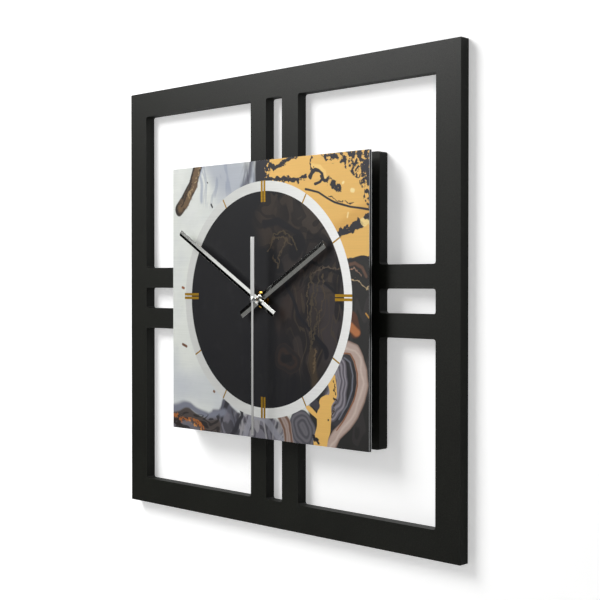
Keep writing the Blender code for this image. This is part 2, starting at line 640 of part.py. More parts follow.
def make_motion_work(axes, brass, plastic):
    """The minute tube, the minute wheel on its setting spindle, and the hour wheel with its pipe."""
    fine = module_of(MOTION_DISTANCE, MINUTE_PINION, HOUR_WHEEL)
    bore = circle(ARBOR_RADIUS + RUN_GAP, SMALL_SIDES)
    tube_back = THIRD_LEVEL + WHEEL_THICKNESS + PLAY
    tube = prism(circle(MINUTE_TUBE_RADIUS), [bore], tube_back, MINUTE_TUBE_FRONT)
    teeth = disc(pinion(CANNON_PINION, CANNON_MODULE), CANNON_LEVEL, [circle(MINUTE_TUBE_RADIUS - JOIN)])
    piece("minute_tube", combined(tube, [teeth], "UNION"), brass, axes["minute"])

    phase = meshing_phase(CANNON_PINION, 0, MOTION_DIRECTION, MINUTE_WHEEL)
    middle = CANNON_LEVEL + WHEEL_THICKNESS / 2
    spindle = rod(SPINDLE_RADIUS, KNOB_BACK + 2 * THIN_GAP + KNOB_SKIN, middle)
    teeth = prism(pinion(MINUTE_PINION, fine), [], middle, CASE_FLOOR - 2 * THIN_GAP)
    minute_wheel = disc(wheel(MINUTE_WHEEL, CANNON_MODULE, phase), CANNON_LEVEL)
    piece("minute_wheel", combined(minute_wheel, [teeth, spindle], "UNION"), plastic, axes["setting"])

    phase = meshing_phase(MINUTE_PINION, 0, MOTION_DIRECTION + 180, HOUR_WHEEL)
    bore_radius = MINUTE_TUBE_RADIUS + RUN_GAP
    pipe = prism(circle(HOUR_PIPE_RADIUS), [circle(bore_radius)], HOUR_LEVEL, HOUR_PIPE_FRONT)
    hour_disc = disc(wheel(HOUR_WHEEL, fine, phase), HOUR_LEVEL, [circle(HOUR_PIPE_RADIUS - JOIN)])
    piece("hour_wheel", combined(pipe, [hour_disc], "UNION"), plastic, axes["hour"])


def make_knob(axis, plastic):
    """The ribbed knob behind the cover that turns the setting spindle."""
    ribs = [
        towards(360 * (rib + share) / KNOB_RIBS, KNOB_RADIUS - depth)
        for rib in range(KNOB_RIBS)
        for share, depth in ((0, 0), (0.5, KNOB_RIB_DEPTH))
    ]
    knob = prism(ribs, [], KNOB_BACK, KNOB_BACK + KNOB_THICKNESS)
    seat = rod(SPINDLE_RADIUS + THIN_GAP / 2, KNOB_BACK + KNOB_SKIN, CASE_BACK)
    piece("setting_knob", combined(knob, [seat], "DIFFERENCE"), plastic, axis)


def make_bridges(parent, plastic):
    """The middle plate and the rear bridge, which hold the arbors between them."""
    places = [
        rotor_place(),
        towards(INTERMEDIATE_DIRECTION, INTERMEDIATE_DISTANCE),
        towards(THIRD_DIRECTION, THIRD_DISTANCE),
    ]
    pivots = [moved(circle(PIVOT_RADIUS + RUN_GAP, SMALL_SIDES), *place) for place in places]
    spindle = circle(SPINDLE_RADIUS + RUN_GAP, SMALL_SIDES)
    pivots.append(moved(spindle, *towards(MOTION_DIRECTION, MOTION_DISTANCE)))
    top = rotor_place()[1] + ROTOR_RADIUS + ROTOR_GAP
    outline = rounded(rectangle(-BRIDGE_LEFT, BRIDGE_RIGHT, -BRIDGE_BELOW, top), CUTTER_RADIUS, 2)
    for name, hole, back in (
        ("middle_plate", circle(MINUTE_TUBE_RADIUS + 2 * RUN_GAP), MIDDLE_PLATE_BACK),
        ("rear_bridge", circle(ARBOR_RADIUS + RUN_GAP, SMALL_SIDES), REAR_BRIDGE_BACK),
    ):
        piece(name, prism(outline, [hole, *pivots], back, back + BRIDGE_THICKNESS), plastic, parent)


def rotor_place():
    """The rotor's (x, z) place about the dial's axis."""
    x, z = towards(INTERMEDIATE_DIRECTION, INTERMEDIATE_DISTANCE)
    dx, dz = towards(ROTOR_DIRECTION, ROTOR_DISTANCE)
    return x + dx, z + dz


# ---- Motor, circuit and battery ----


def make_motor(parent, steel, plastic, copper):
    """The stator around the rotor, and the coil on its core above it."""
    rotor_x, rotor_z = rotor_place()
    low = THIRD_LEVEL - PLAY
    high = low + STATOR_THICKNESS
    neck = ROTOR_RADIUS + ROTOR_GAP + STATOR_RIM
    arm_in = COIL_LENGTH / 2 + TOUCH_GAP
    arm_out = arm_in + STATOR_ARM
    yoke_top = rotor_z + neck
    coil_z = yoke_top + TOUCH_GAP + BOBBIN_SIDE / 2
    arm_top = coil_z + CORE_WIDTH / 2 + STATOR_END
    right_half = [
        (neck, rotor_z - neck),
        (neck, rotor_z),
        (arm_out, rotor_z),
        (arm_out, arm_top),
        (arm_in, arm_top),
        (arm_in, yoke_top),
    ]
    left_half = [(-x, z) for x, z in reversed(right_half)]
    outline = moved(right_half + left_half, rotor_x, 0)
    rotor_hole = moved(circle(ROTOR_RADIUS + ROTOR_GAP), rotor_x, rotor_z)
    piece("stator", prism(outline, [rotor_hole], low, high), steel, parent)
    core_low = high + THIN_GAP
    core_end = arm_out - CORE_MARGIN
    core = moved(rectangle(-core_end, core_end, -CORE_WIDTH / 2, CORE_WIDTH / 2), rotor_x, coil_z)
    piece("coil_core", prism(core, [], core_low, core_low + COIL_CORE_THICKNESS), steel, parent)
    axis = empty("coil_axis", parent, (rotor_x, coil_z))
    make_coil(axis, core_low + COIL_CORE_THICKNESS / 2, plastic, copper)


def box_about(middle, half_length, half_height, half_depth):
    """A box centred on the coil's line, which lies at a distance out."""
    outline = rectangle(-half_length, half_length, -half_height, half_height)
    return prism(outline, [], middle - half_depth, middle + half_depth)


def make_coil(axis, middle, plastic, copper):
    """The bobbin with a flange at each end, which slides over the core, and the winding on it."""
    length, half = COIL_LENGTH / 2, BOBBIN_SIDE / 2
    inner_z, inner = CORE_WIDTH / 2 + THIN_GAP, COIL_CORE_THICKNESS / 2 + THIN_GAP
    flanges = [
        prism(rectangle(x, x + BOBBIN_FLANGE, -half, half), [], middle - half, middle + half)
        for x in (-length, length - BOBBIN_FLANGE)
    ]
    tube = box_about(middle, length - THIN_GAP, inner_z + BOBBIN_WALL, inner + BOBBIN_WALL)
    passage = box_about(middle, length + PAST, inner_z, inner)
    bobbin = combined(combined(tube, flanges, "UNION"), [passage], "DIFFERENCE")
    piece("coil_bobbin", bobbin, plastic, axis)
    wound, outside = length - BOBBIN_FLANGE - THIN_GAP, half - TOUCH_GAP
    winding = box_about(middle, wound, outside, outside)
    around_tube = BOBBIN_WALL + THIN_GAP
    hollow = box_about(middle, wound + PAST, inner_z + around_tube, inner + around_tube)
    piece("coil_winding", combined(winding, [hollow], "DIFFERENCE"), copper, axis)


def make_circuit(parent, board_finish, epoxy, can):
    """The circuit board left of the wheels, with its chip under a drop of epoxy and the quartz crystal."""
    x_low, z_low = -CHAMBER_HALF + THIN_GAP, CHAMBER_BOTTOM + THIN_GAP
    outline = rectangle(x_low, x_low + BOARD_WIDTH, z_low, z_low + BOARD_HEIGHT)
    outline = rounded(outline, CASE_CORNER - CASE_WALL, 2)
    board = prism(outline, [], REAR_BRIDGE_BACK, REAR_BRIDGE_BACK + BOARD_THICKNESS)
    piece("circuit_board", board, board_finish, parent)
    middle = x_low + BOARD_WIDTH / 2
    face = REAR_BRIDGE_BACK - THIN_GAP
    chip = empty("chip_axis", parent, (middle, z_low + CHIP_HEIGHT))
    slope = [math.radians(angle) for angle in (0, 30, 60)]
    drop = [(CHIP_RADIUS * math.cos(a), face - CHIP_THICKNESS * math.sin(a)) for a in slope]
    drop = [(0, face), *drop, (0, face - CHIP_THICKNESS)]
    piece("chip_cover", turned(drop, SMALL_SIDES), epoxy, chip)
    half, radius = CRYSTAL_LENGTH / 2, CRYSTAL_RADIUS
    outline = rounded(rectangle(middle - half, middle + half, -radius, radius), CRYSTAL_EDGE, 1)
    can_solid = prism(moved(outline, 0, z_low + CRYSTAL_HEIGHT), [], face - 2 * radius, face)
    piece("quartz_crystal", can_solid, can, parent)


def direction_of(start, end):
    """The angle of the line from one (x, z) point to another, in radians."""
    return math.atan2(end[1] - start[1], end[0] - start[0])


def strip(points, low, high):
    """A bent metal strip: a prism along Y whose outline follows the points at the strip's thickness."""
    half = CONTACT_THICKNESS / 2
    left, right = [], []
    for i, (x, z) in enumerate(points):
        ahead = points[min(i + 1, len(points) - 1)]
        behind = points[max(i - 1, 0)]
        before, after = direction_of(behind, (x, z)), direction_of((x, z), ahead)
        before, after = (before if i else after), (after if i < len(points) - 1 else before)
        reach = half / math.cos((after - before) / 2)
        normal = (before + after) / 2 + math.pi / 2
        left.append((x + reach * math.cos(normal), z + reach * math.sin(normal)))
        right.append((x - reach * math.cos(normal), z - reach * math.sin(normal)))
    return prism(left + right[::-1], [], low, high)


def make_battery(parent, contact_metal, battery_finish, battery_axis):
    """The battery in its bay, the leaf spring at its flat end and the strip that carries its other end."""
    bay_middle = (BAY_BOTTOM + BAY_TOP) / 2
    wall_x = CHAMBER_HALF - THIN_GAP - CONTACT_THICKNESS / 2
    axis_out = CASE_FLOOR - THIN_GAP - BATTERY_RADIUS
    low = REAR_BRIDGE_BACK + BOARD_THICKNESS + THIN_GAP
    high = low + CONTACT_WIDTH
    along = CHAMBER_BOTTOM + THIN_GAP + CONTACT_THICKNESS / 2
    over_board = -CHAMBER_HALF + BOARD_WIDTH / 2
    plus = [(wall_x, bay_middle - CONTACT_END), (wall_x, along), (over_board, along)]
    piece("contact_plus", strip(plus, low, high), contact_metal, parent)
    flat_end = wall_x - CONTACT_THICKNESS / 2 - THIN_GAP - BATTERY_NUB_LENGTH - BATTERY_LENGTH
    spring_x = flat_end - THIN_GAP - CONTACT_THICKNESS / 2
    minus = [
        (-wall_x, along + CONTACT_END),
        (-wall_x, bay_middle - SPRING_FOOT),
        (spring_x, bay_middle - SPRING_NEAR),
        (spring_x, bay_middle + SPRING_TIP),
    ]
    piece("contact_minus", strip(minus, low, high), contact_metal, parent)
    edge, nub = BATTERY_EDGE, BATTERY_NUB_RADIUS
    profile = [
        (0, 0),
        (BATTERY_RADIUS - edge, 0),
        (BATTERY_RADIUS, edge),
        (BATTERY_RADIUS, BATTERY_LENGTH - edge),
        (BATTERY_RADIUS - edge, BATTERY_LENGTH),
        (nub, BATTERY_LENGTH),
        (nub, BATTERY_LENGTH + BATTERY_NUB_LENGTH),
        (0, BATTERY_LENGTH + BATTERY_NUB_LENGTH),
    ]
    made = piece("battery", turned(profile, 20), battery_finish, battery_axis)
    made.rotation_euler = (0, 0, math.radians(90))
    made.location = (flat_end, -axis_out, bay_middle)


# ---- Hands ----


def blade(width, length, tail, low):
    """A straight hand with square ends and a ridge along its middle."""
    half, edge = width / 2, low + BLADE_EDGE
    section = [(-half, low), (half, low), (half, edge), (0, low + BLADE_RIDGE), (-half, edge)]
    bm = bmesh.new()
    points = [bm.verts.new((x, -out, -tail)) for x, out in section]
    raised = bmesh.ops.extrude_face_region(bm, geom=[bm.faces.new(points)])
    far = [item for item in raised["geom"] if isinstance(item, bmesh.types.BMVert)]
    bmesh.ops.translate(bm, verts=far, vec=(0, 0, length + tail))
    bmesh.ops.recalc_face_normals(bm, faces=bm.faces[:])
    return bm


def make_hand(name, width, length, tail, low, shaft_radius, angle, parent, metal):
    """A ridged hand with a round eye, and the collet that holds it on its shaft."""
    bore = shaft_radius + THIN_GAP / 2
    neck = bore + COLLET_WALL
    ridge = low + BLADE_RIDGE
    eye = prism(circle(neck + EYE_RIM), [], low, ridge - THIN_GAP)
    solid = combined(blade(width, length, tail, low), [eye], "UNION")
    seat = prism(circle(neck + THIN_GAP / 2), [], low - PAST, ridge + PAST)
    piece(name, combined(solid, [seat], "DIFFERENCE"), metal, parent, angle)
    lip, lip_low, lip_high = neck + COLLET_LIP, ridge + THIN_GAP / 2, ridge + COLLET_LIP_THICKNESS
    profile = [(bore, low), (neck, low), (neck, lip_low), (lip, lip_low)]
    profile += [(lip, lip_high - THIN_GAP), (lip - THIN_GAP, lip_high), (bore, lip_high)]
    piece(name + "_collet", turned(profile), metal, parent, angle)


def make_second_hand(parent, metal, cap_metal):
    """The flat second hand with its broad tail, and the domed cap that sits on the arbor."""
    low = SECOND_BACK
    high = low + SECOND_THICKNESS
    thin, broad = SECOND_WIDTH / 2, SECOND_TAIL_WIDTH / 2
    stem = CAP_RADIUS - CAP_STEP
    outline = [
        (-broad, -SECOND_TAIL),
        (broad, -SECOND_TAIL),
        (broad, 0),
        (thin, 0),
        (thin, SECOND_LENGTH),
        (-thin, SECOND_LENGTH),
        (-thin, 0),
        (-broad, 0),
    ]
    eye = prism(circle(CAP_RADIUS - THIN_GAP), [], low, high)
    solid = combined(prism(outline, [], low, high), [eye], "UNION")
    hole = prism(circle(stem + THIN_GAP / 2), [], low - PAST, high + PAST)
    piece("second_hand", combined(solid, [hole], "DIFFERENCE"), metal, parent, SECOND_ANGLE)
    top = high + THIN_GAP / 2
    rim = top + TOUCH_GAP
    bore = ARBOR_RADIUS + THIN_GAP / 2
    base = low - CAP_SOCKET
    dome = [math.radians(angle) for angle in (0, 25, 50, 70)]
    profile = [(bore, base), (stem, base), (stem, top), (CAP_RADIUS, top)]
    profile += [(CAP_RADIUS * math.cos(a), rim + CAP_DOME * math.sin(a)) for a in dome]
    profile += [(0, rim + CAP_DOME), (0, low + THIN_GAP), (bore, low + THIN_GAP)]
    piece("second_hand_cap", turned(profile), cap_metal, parent)


def main():
    """Build the clock."""
    clear_scene()
    dial = empty("dial_centre", place=(0, -HOOK_HEIGHT))
    motion_place = towards(MOTION_DIRECTION, MOTION_DISTANCE)
    intermediate_place = towards(INTERMEDIATE_DIRECTION, INTERMEDIATE_DISTANCE)
    axes = {
        "second": empty("second_axis", dial),
        "minute": empty("minute_axis", dial),
        "hour": empty("hour_axis", dial),
        "centre": empty("centre_wheel_axis", dial),
        "intermediate": empty("intermediate_axis", dial, intermediate_place),
        "rotor": empty("rotor_axis", dial, rotor_place()),
        "third": empty("third_axis", dial, towards(THIRD_DIRECTION, THIRD_DISTANCE)),
        "setting": empty("setting_axis", dial, motion_place),
        "battery": empty("battery_slide", dial),
    }
    mdf = finish("black_mdf", (0.03, 0.03, 0.026), 0.75, 0)
    skin = finish("printed_aluminium", (0.55, 0.52, 0.45), 0.35, 0.3)
    core = finish("black_polyethylene", (0.01, 0.01, 0.01), 0.6, 0)
    steel = finish("zinc_plated_steel", (0.6, 0.6, 0.62), 0.35, 1)
    stator_steel = finish("stator_steel", (0.45, 0.45, 0.47), 0.4, 1)
    polished = finish("polished_aluminium", (0.8, 0.8, 0.8), 0.12, 1)
    dark_metal = finish("dark_chrome", (0.25, 0.25, 0.26), 0.1, 1)
    brass = finish("brass", (0.6, 0.42, 0.12), 0.25, 1)
    black_plastic = finish("black_abs", (0.02, 0.02, 0.02), 0.5, 0)
    white_plastic = finish("white_acetal", (0.8, 0.8, 0.78), 0.45, 0)
    rubber = finish("black_rubber", (0.015, 0.015, 0.015), 0.8, 0)
    magnet = finish("ferrite_magnet", (0.06, 0.06, 0.065), 0.5, 0.2)
    copper = finish("enamelled_copper", (0.6, 0.25, 0.1), 0.3, 1)
    board = finish("phenolic_board", (0.35, 0.2, 0.07), 0.5, 0)
    battery_wrap = finish("battery_wrap", (0.05, 0.2, 0.1), 0.35, 0)
    make_frame_sheet(dial, mdf)
    make_hanger(dial, steel, steel)
    make_plate(dial, skin, core)
    make_blocks(dial, mdf)
    make_case(dial, black_plastic, black_plastic)
    make_bush_and_nut(dial, brass, rubber)
    make_second_train(axes, brass, white_plastic, magnet)
    make_motion_work(axes, brass, white_plastic)
    make_knob(axes["setting"], black_plastic)
    make_bridges(dial, white_plastic)
    make_motor(dial, stator_steel, black_plastic, copper)
    make_circuit(dial, board, black_plastic, steel)
    make_battery(dial, steel, battery_wrap, axes["battery"])
    hour_sizes = (HOUR_WIDTH, HOUR_LENGTH, HOUR_TAIL, HOUR_BACK, HOUR_PIPE_RADIUS)
    minute_sizes = (MINUTE_WIDTH, MINUTE_LENGTH, MINUTE_TAIL, MINUTE_BACK, MINUTE_TUBE_RADIUS)
    make_hand("hour_hand", *hour_sizes, HOUR_ANGLE, axes["hour"], polished)
    make_hand("minute_hand", *minute_sizes, MINUTE_ANGLE, axes["minute"], polished)
    make_second_hand(axes["second"], polished, dark_metal)


main()
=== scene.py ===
"""Studio scene of a square wall clock: a milled MDF sheet with a printed dial on a quartz movement.

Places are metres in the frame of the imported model: the wall is the plane Y = 0 and the clock faces -Y. "Out"
is a distance from the wall towards the room. Sizes written in millimetres are multiplied by MM.
"""

import json
import logging
import math
from collections.abc import Callable
from dataclasses import dataclass
from enum import Enum

import bmesh
import bpy
from mathutils import Matrix, Vector

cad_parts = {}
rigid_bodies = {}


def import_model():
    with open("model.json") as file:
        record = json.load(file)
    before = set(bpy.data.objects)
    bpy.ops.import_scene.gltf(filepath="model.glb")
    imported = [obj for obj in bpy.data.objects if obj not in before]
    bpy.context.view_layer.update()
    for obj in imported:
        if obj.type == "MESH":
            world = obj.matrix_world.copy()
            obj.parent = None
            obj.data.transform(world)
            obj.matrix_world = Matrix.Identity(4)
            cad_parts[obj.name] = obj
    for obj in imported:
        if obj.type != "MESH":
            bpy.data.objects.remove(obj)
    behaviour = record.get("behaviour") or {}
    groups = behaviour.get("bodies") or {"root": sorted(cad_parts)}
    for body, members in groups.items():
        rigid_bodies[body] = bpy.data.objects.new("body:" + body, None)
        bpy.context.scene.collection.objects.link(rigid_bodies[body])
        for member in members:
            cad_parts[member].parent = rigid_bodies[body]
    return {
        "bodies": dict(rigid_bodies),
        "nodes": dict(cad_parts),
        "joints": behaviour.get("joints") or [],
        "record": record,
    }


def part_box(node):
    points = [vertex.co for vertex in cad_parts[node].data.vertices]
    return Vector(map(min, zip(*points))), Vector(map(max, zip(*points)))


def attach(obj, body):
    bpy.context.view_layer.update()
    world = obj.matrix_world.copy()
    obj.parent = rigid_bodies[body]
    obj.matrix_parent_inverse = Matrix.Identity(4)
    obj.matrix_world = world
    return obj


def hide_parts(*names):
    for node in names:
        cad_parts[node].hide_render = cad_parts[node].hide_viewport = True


MM = 0.001
LOG = logging.getLogger("wall_clock")
MERGE_DISTANCE = 2e-6
Tree = bpy.types.NodeTree
Node = bpy.types.Node
Socket = bpy.types.NodeSocket
Solid = bmesh.types.BMesh
Point = tuple[float, float]


def linear(code: str) -> tuple[float, float, float, float]:
    """Turn an sRGB hex colour into the linear colour that a shader takes.

    Args:
        code: Six hex digits after a hash sign.

    Returns:
        Red, green, blue and an alpha of 1.
    """
    shares = [int(code[i : i + 2], 16) / 255 for i in (1, 3, 5)]
    red, green, blue = (s / 12.92 if s <= 0.04045 else ((s + 0.055) / 1.055) ** 2.4 for s in shares)
    return red, green, blue, 1.0


def add_node(tree: Tree, kind: str, settings: dict | None = None, inputs: dict | None = None) -> Node:
    """Add one node with its settings, and set or link its inputs.

    Args:
        tree: The node tree that gets the node.
        kind: The node's type name.
        settings: Properties of the node.
        inputs: Values or output sockets, by the input's name or index.

    Returns:
        The new node.
    """
    node = tree.nodes.new(kind)
    for name, value in (settings or {}).items():
        setattr(node, name, value)
    for name, value in (inputs or {}).items():
        if isinstance(value, Socket):
            tree.links.new(value, node.inputs[name])
        else:
            node.inputs[name].default_value = value
    return node


def new_material(name: str) -> tuple[bpy.types.Material, Tree, Node]:
    """Make an empty node material.

    Args:
        name: The material's name.

    Returns:
        The material, its node tree and its Principled shader.
    """
    material = bpy.data.materials.new(name)
    material.use_nodes = True
    return material, material.node_tree, material.node_tree.nodes["Principled BSDF"]


# ---- Finishes ----


@dataclass(frozen=True)
class Finish:
    """A surface with a grain: two tones, a roughness that varies and a fine relief.

    The grain's sizes are millimetres along X, Y and Z, so that one long size gives the drawn lines of a brushed
    metal and equal ones the orange peel of a moulded plastic.
    """

    name: str
    tone: str
    other_tone: str
    roughness: float
    roughness_spread: float = 0.1
    metallic: float = 0.0
    grain: tuple[float, float, float] = (1.0, 1.0, 1.0)
    relief: float = 0.01
    coat: float = 0.0

    def grain_place(self, tree: Tree) -> Socket:
        """Return the coordinates in which one unit is one grain."""
        place = add_node(tree, "ShaderNodeTexCoord").outputs["Object"]
        scale = tuple(1 / (size * MM) for size in self.grain)
        scaled = {0: place, 1: scale}
        return add_node(tree, "ShaderNodeVectorMath", {"operation": "MULTIPLY"}, scaled).outputs["Vector"]

    def make(self) -> bpy.types.Material:
        """Build the material and return it."""
        material, tree, shader = new_material(self.name)
        shader.inputs["Metallic"].default_value = self.metallic
        shader.inputs["Coat Weight"].default_value = self.coat
        place = self.grain_place(tree)
        grain = {"Vector": place, "Scale": 1.0, "Detail": 3.0}
        grain = add_node(tree, "ShaderNodeTexNoise", {}, grain).outputs["Fac"]
        spread = {"Value": grain, "From Min": 0.3, "From Max": 0.7}
        share = add_node(tree, "ShaderNodeMapRange", {}, spread).outputs["Result"]
        tones = {0: share, 6: linear(self.tone), 7: linear(self.other_tone)}
        tone = add_node(tree, "ShaderNodeMix", {"data_type": "RGBA"}, tones).outputs[2]
        rough = {"Value": share, "To Min": self.roughness, "To Max": self.roughness + self.roughness_spread}
        rough = add_node(tree, "ShaderNodeMapRange", {}, rough).outputs["Result"]
        height = {"Height": grain, "Distance": self.relief * MM, "Strength": 1.0}
        relief = add_node(tree, "ShaderNodeBump", {}, height).outputs["Normal"]
        tree.links.new(tone, shader.inputs["Base Color"])
        tree.links.new(rough, shader.inputs["Roughness"])
        tree.links.new(relief, shader.inputs["Normal"])
        return material


@dataclass(frozen=True)
class StainedMdf:
    """Black stained MDF: pressed fibre with a fine pale fleck on its sanded face, and a darker milled edge.

    The flecks are fibre bundles of about 0.7 mm, the drift of tone is the stain's uneven take-up.
    """

    name: str
    face: str
    fleck: str
    roughness: float
    fleck_size: float = 0.9
    drift_size: float = 55.0
    specular: float = 0.27

    def make(self) -> bpy.types.Material:
        """Build the material and return it."""
        material, tree, shader = new_material(self.name)
        shader.inputs["Specular IOR Level"].default_value = self.specular
        place = add_node(tree, "ShaderNodeTexCoord").outputs["Object"]
        noises = []
        for size, detail in ((self.fleck_size, 4.0), (self.drift_size, 2.0)):
            sizes = {"Vector": place, "Scale": 1 / (size * MM), "Detail": detail, "Roughness": 0.6}
            noises.append(add_node(tree, "ShaderNodeTexNoise", {}, sizes).outputs["Fac"])
        flecks, drift = noises
        share = {"Value": flecks, "From Min": 0.36, "From Max": 0.74}
        share = add_node(tree, "ShaderNodeMapRange", {}, share).outputs["Result"]
        tones = {0: share, 6: linear(self.face), 7: linear(self.fleck)}
        tone = add_node(tree, "ShaderNodeMix", {"data_type": "RGBA"}, tones).outputs[2]
        dimmed = {"Value": drift, "From Min": 0.3, "From Max": 0.7, "To Min": 0.86, "To Max": 1.12}
        dimmed = add_node(tree, "ShaderNodeMapRange", {}, dimmed).outputs["Result"]
        tone = {0: tone, "Scale": dimmed}
        tone = add_node(tree, "ShaderNodeVectorMath", {"operation": "SCALE"}, tone).outputs["Vector"]
        rough = {"Value": flecks, "To Min": self.roughness - 0.08, "To Max": self.roughness + 0.12}
        rough = add_node(tree, "ShaderNodeMapRange", {}, rough).outputs["Result"]
        height = {"Height": flecks, "Distance": 0.06 * MM, "Strength": 1.0}
        relief = add_node(tree, "ShaderNodeBump", {}, height).outputs["Normal"]
        tree.links.new(tone, shader.inputs["Base Color"])
        tree.links.new(rough, shader.inputs["Roughness"])
        tree.links.new(relief, shader.inputs["Normal"])
        return material


class Drift(Enum):
    """How a painted edge wanders: the size and the reach of the wander in millimetres, and its detail."""

    CALM = (30.0, 1.5, 1.0)
    FLOWING = (32.0, 7.0, 0.6)
    ROLLING = (20.0, 2.8, 1.2)
    RAGGED = (5.0, 3.2, 4.0)


@dataclass(frozen=True)
class Stroke:
    """One painted vein: a line through (right, up) points in millimetres about the dial's axis."""

    points: tuple[Point, ...]
    half_width: float
    tone: str
    soft: float = 0.6
    drift: Drift = Drift.FLOWING
    amount: float = 1.0
    broken: float = 0.0


@dataclass(frozen=True)
class Field:
    """A painted area: all beyond each straight edge, given as (direction, distance) in degrees and mm."""

    edges: tuple[Point, ...]
    tone: str
    soft: float = 0.8
    drift: Drift = Drift.FLOWING
    amount: float = 1.0
    broken: float = 0.0


@dataclass(frozen=True)
class Swirl:
    """Fine flowing lines like the contours of a map, within an area given as a Field's edges."""

    edges: tuple[Point, ...]
    tone: str
    size: Point
    lines: float
    width: float = 0.3
    amount: float = 0.6
    soft: float = 12.0


class Canvas:
    """A picture painted with nodes, shape over shape, in millimetres about the dial's axis."""

    def __init__(self, tree: Tree, hub: Vector, ground: str) -> None:
        """Start with one tone.

        Args:
            tree: The material's node tree.
            hub: A point on the dial's axis.
            ground: The tone under everything.
        """
        self.tree = tree
        place = add_node(tree, "ShaderNodeTexCoord").outputs["Object"]
        moved = {0: place, 1: (1 / MM, 0, 1 / MM), 2: (-hub.x / MM, 0, -hub.z / MM)}
        centred = add_node(tree, "ShaderNodeVectorMath", {"operation": "MULTIPLY_ADD"}, moved)
        self.place = centred.outputs["Vector"]
        self.tone = linear(ground)
        self.drifts = {drift: self.drifted(*drift.value) for drift in Drift}

    def noise(self, size: float, output: str = "Fac", detail: float = 3.0) -> Socket:
        """Return a noise of that grain size in millimetres, from the named output."""
        sizes = {"Vector": self.place, "Scale": 1 / size, "Detail": detail, "Roughness": 0.55}
        return add_node(self.tree, "ShaderNodeTexNoise", {}, sizes).outputs[output]

    def drifted(self, size: float, reach: float, detail: float) -> Socket:
        """Return the place pushed about by a noise of that size and detail, by up to about the reach."""
        push = {0: self.noise(size, "Color", detail), 1: (2 * reach,) * 3, 2: (-reach, 0, -reach)}
        scale_and_add = {"operation": "MULTIPLY_ADD"}
        push = add_node(self.tree, "ShaderNodeVectorMath", scale_and_add, push).outputs["Vector"]
        push = {0: push, 1: (1.6, 0, 1.6), 2: self.place}
        return add_node(self.tree, "ShaderNodeVectorMath", scale_and_add, push).outputs["Vector"]

    def distance(self, points: tuple[Point, ...], drift: Drift) -> Socket:
        """Return the distance in millimetres to the line through the points.

        Args:
            points: The line's points. One point alone gives the distance to it.
            drift: How far the line wanders.

        Returns:
            The socket with the distance.
        """
        tree, place, nearest = self.tree, self.drifts[drift], None
        for start, end in zip(points, points[1:] or points):
            run = Vector((end[0] - start[0], 0, end[1] - start[1]))
            inputs = {0: place, 1: (start[0], 0, start[1])}
            offset = add_node(tree, "ShaderNodeVectorMath", {"operation": "SUBTRACT"}, inputs)
            offset = offset.outputs["Vector"]
            inputs = {0: offset, 1: run / max(run.length_squared, 1e-9)}
            share = add_node(tree, "ShaderNodeVectorMath", {"operation": "DOT_PRODUCT"}, inputs)
            share = add_node(tree, "ShaderNodeClamp", {}, {"Value": share.outputs["Value"]}).outputs["Result"]
            foot = add_node(tree, "ShaderNodeVectorMath", {"operation": "SCALE"}, {0: run, "Scale": share})
            inputs = {0: offset, 1: foot.outputs["Vector"]}
            found = add_node(tree, "ShaderNodeVectorMath", {"operation": "DISTANCE"}, inputs).outputs["Value"]
            if nearest is not None:
                found = add_node(tree, "ShaderNodeMath", {"operation": "MINIMUM"}, {0: nearest, 1: found})
                found = found.outputs[0]
            nearest = found
        return nearest

    def cover(self, distance: Socket, half_width: float, soft: float) -> Socket:
        """Return 1 within the half width and 0 outside it, with an edge as soft as that many millimetres."""
        edge = {"Value": distance, "From Min": half_width + soft / 2, "From Max": half_width - soft / 2}
        smooth = {"interpolation_type": "SMOOTHSTEP"}
        return add_node(self.tree, "ShaderNodeMapRange", smooth, edge).outputs["Result"]

    def times(self, first: Socket, second: Socket | float) -> Socket:
        """Return the product of two shares."""
        shares = {0: first, 1: second}
        return add_node(self.tree, "ShaderNodeMath", {"operation": "MULTIPLY"}, shares).outputs[0]

    def lay(self, tone: str | Socket, share: Socket) -> None:
        """Mix a tone over the picture by a share."""
        tones = {0: share, 6: self.tone, 7: linear(tone) if isinstance(tone, str) else tone}
        self.tone = add_node(self.tree, "ShaderNodeMix", {"data_type": "RGBA"}, tones).outputs[2]

    def area(self, edges: tuple[Point, ...], soft: float, drift: Drift) -> Socket:
        """Return 1 beyond every one of the straight edges and 0 elsewhere, soft across each edge."""
        share = None
        for direction, distance in edges:
            angle = math.radians(direction)
            inputs = {0: self.drifts[drift], 1: (math.sin(angle), 0, math.cos(angle))}
            along = add_node(self.tree, "ShaderNodeVectorMath", {"operation": "DOT_PRODUCT"}, inputs)
            along = along.outputs["Value"]
            inside = {"Value": along, "From Min": distance - soft / 2, "From Max": distance + soft / 2}
            inside = add_node(self.tree, "ShaderNodeMapRange", {}, inside).outputs["Result"]
            share = inside if share is None else self.times(share, inside)
        return share

    def swirl(self, shape: Swirl) -> None:
        """Paint the contour lines of a slow noise over the picture."""
        across, up = shape.size
        stretched = {0: self.drifts[Drift.FLOWING], 1: (1 / across, 0, 1 / up)}
        stretched = add_node(self.tree, "ShaderNodeVectorMath", {"operation": "MULTIPLY"}, stretched)
        level = {"Vector": stretched.outputs["Vector"], "Scale": 1.0, "Detail": 1.5}
        level = add_node(self.tree, "ShaderNodeTexNoise", {}, level).outputs["Fac"]
        level = self.times(level, math.tau * shape.lines)
        wave = add_node(self.tree, "ShaderNodeMath", {"operation": "SINE"}, {0: level}).outputs[0]
        lines = {"Value": wave, "From Min": 1.0 - 2 * shape.width, "From Max": 1.0 - shape.width}
        lines = add_node(self.tree, "ShaderNodeMapRange", {}, lines).outputs["Result"]
        share = self.times(lines, self.area(shape.edges, shape.soft, Drift.FLOWING))
        self.lay(shape.tone, self.times(share, shape.amount))

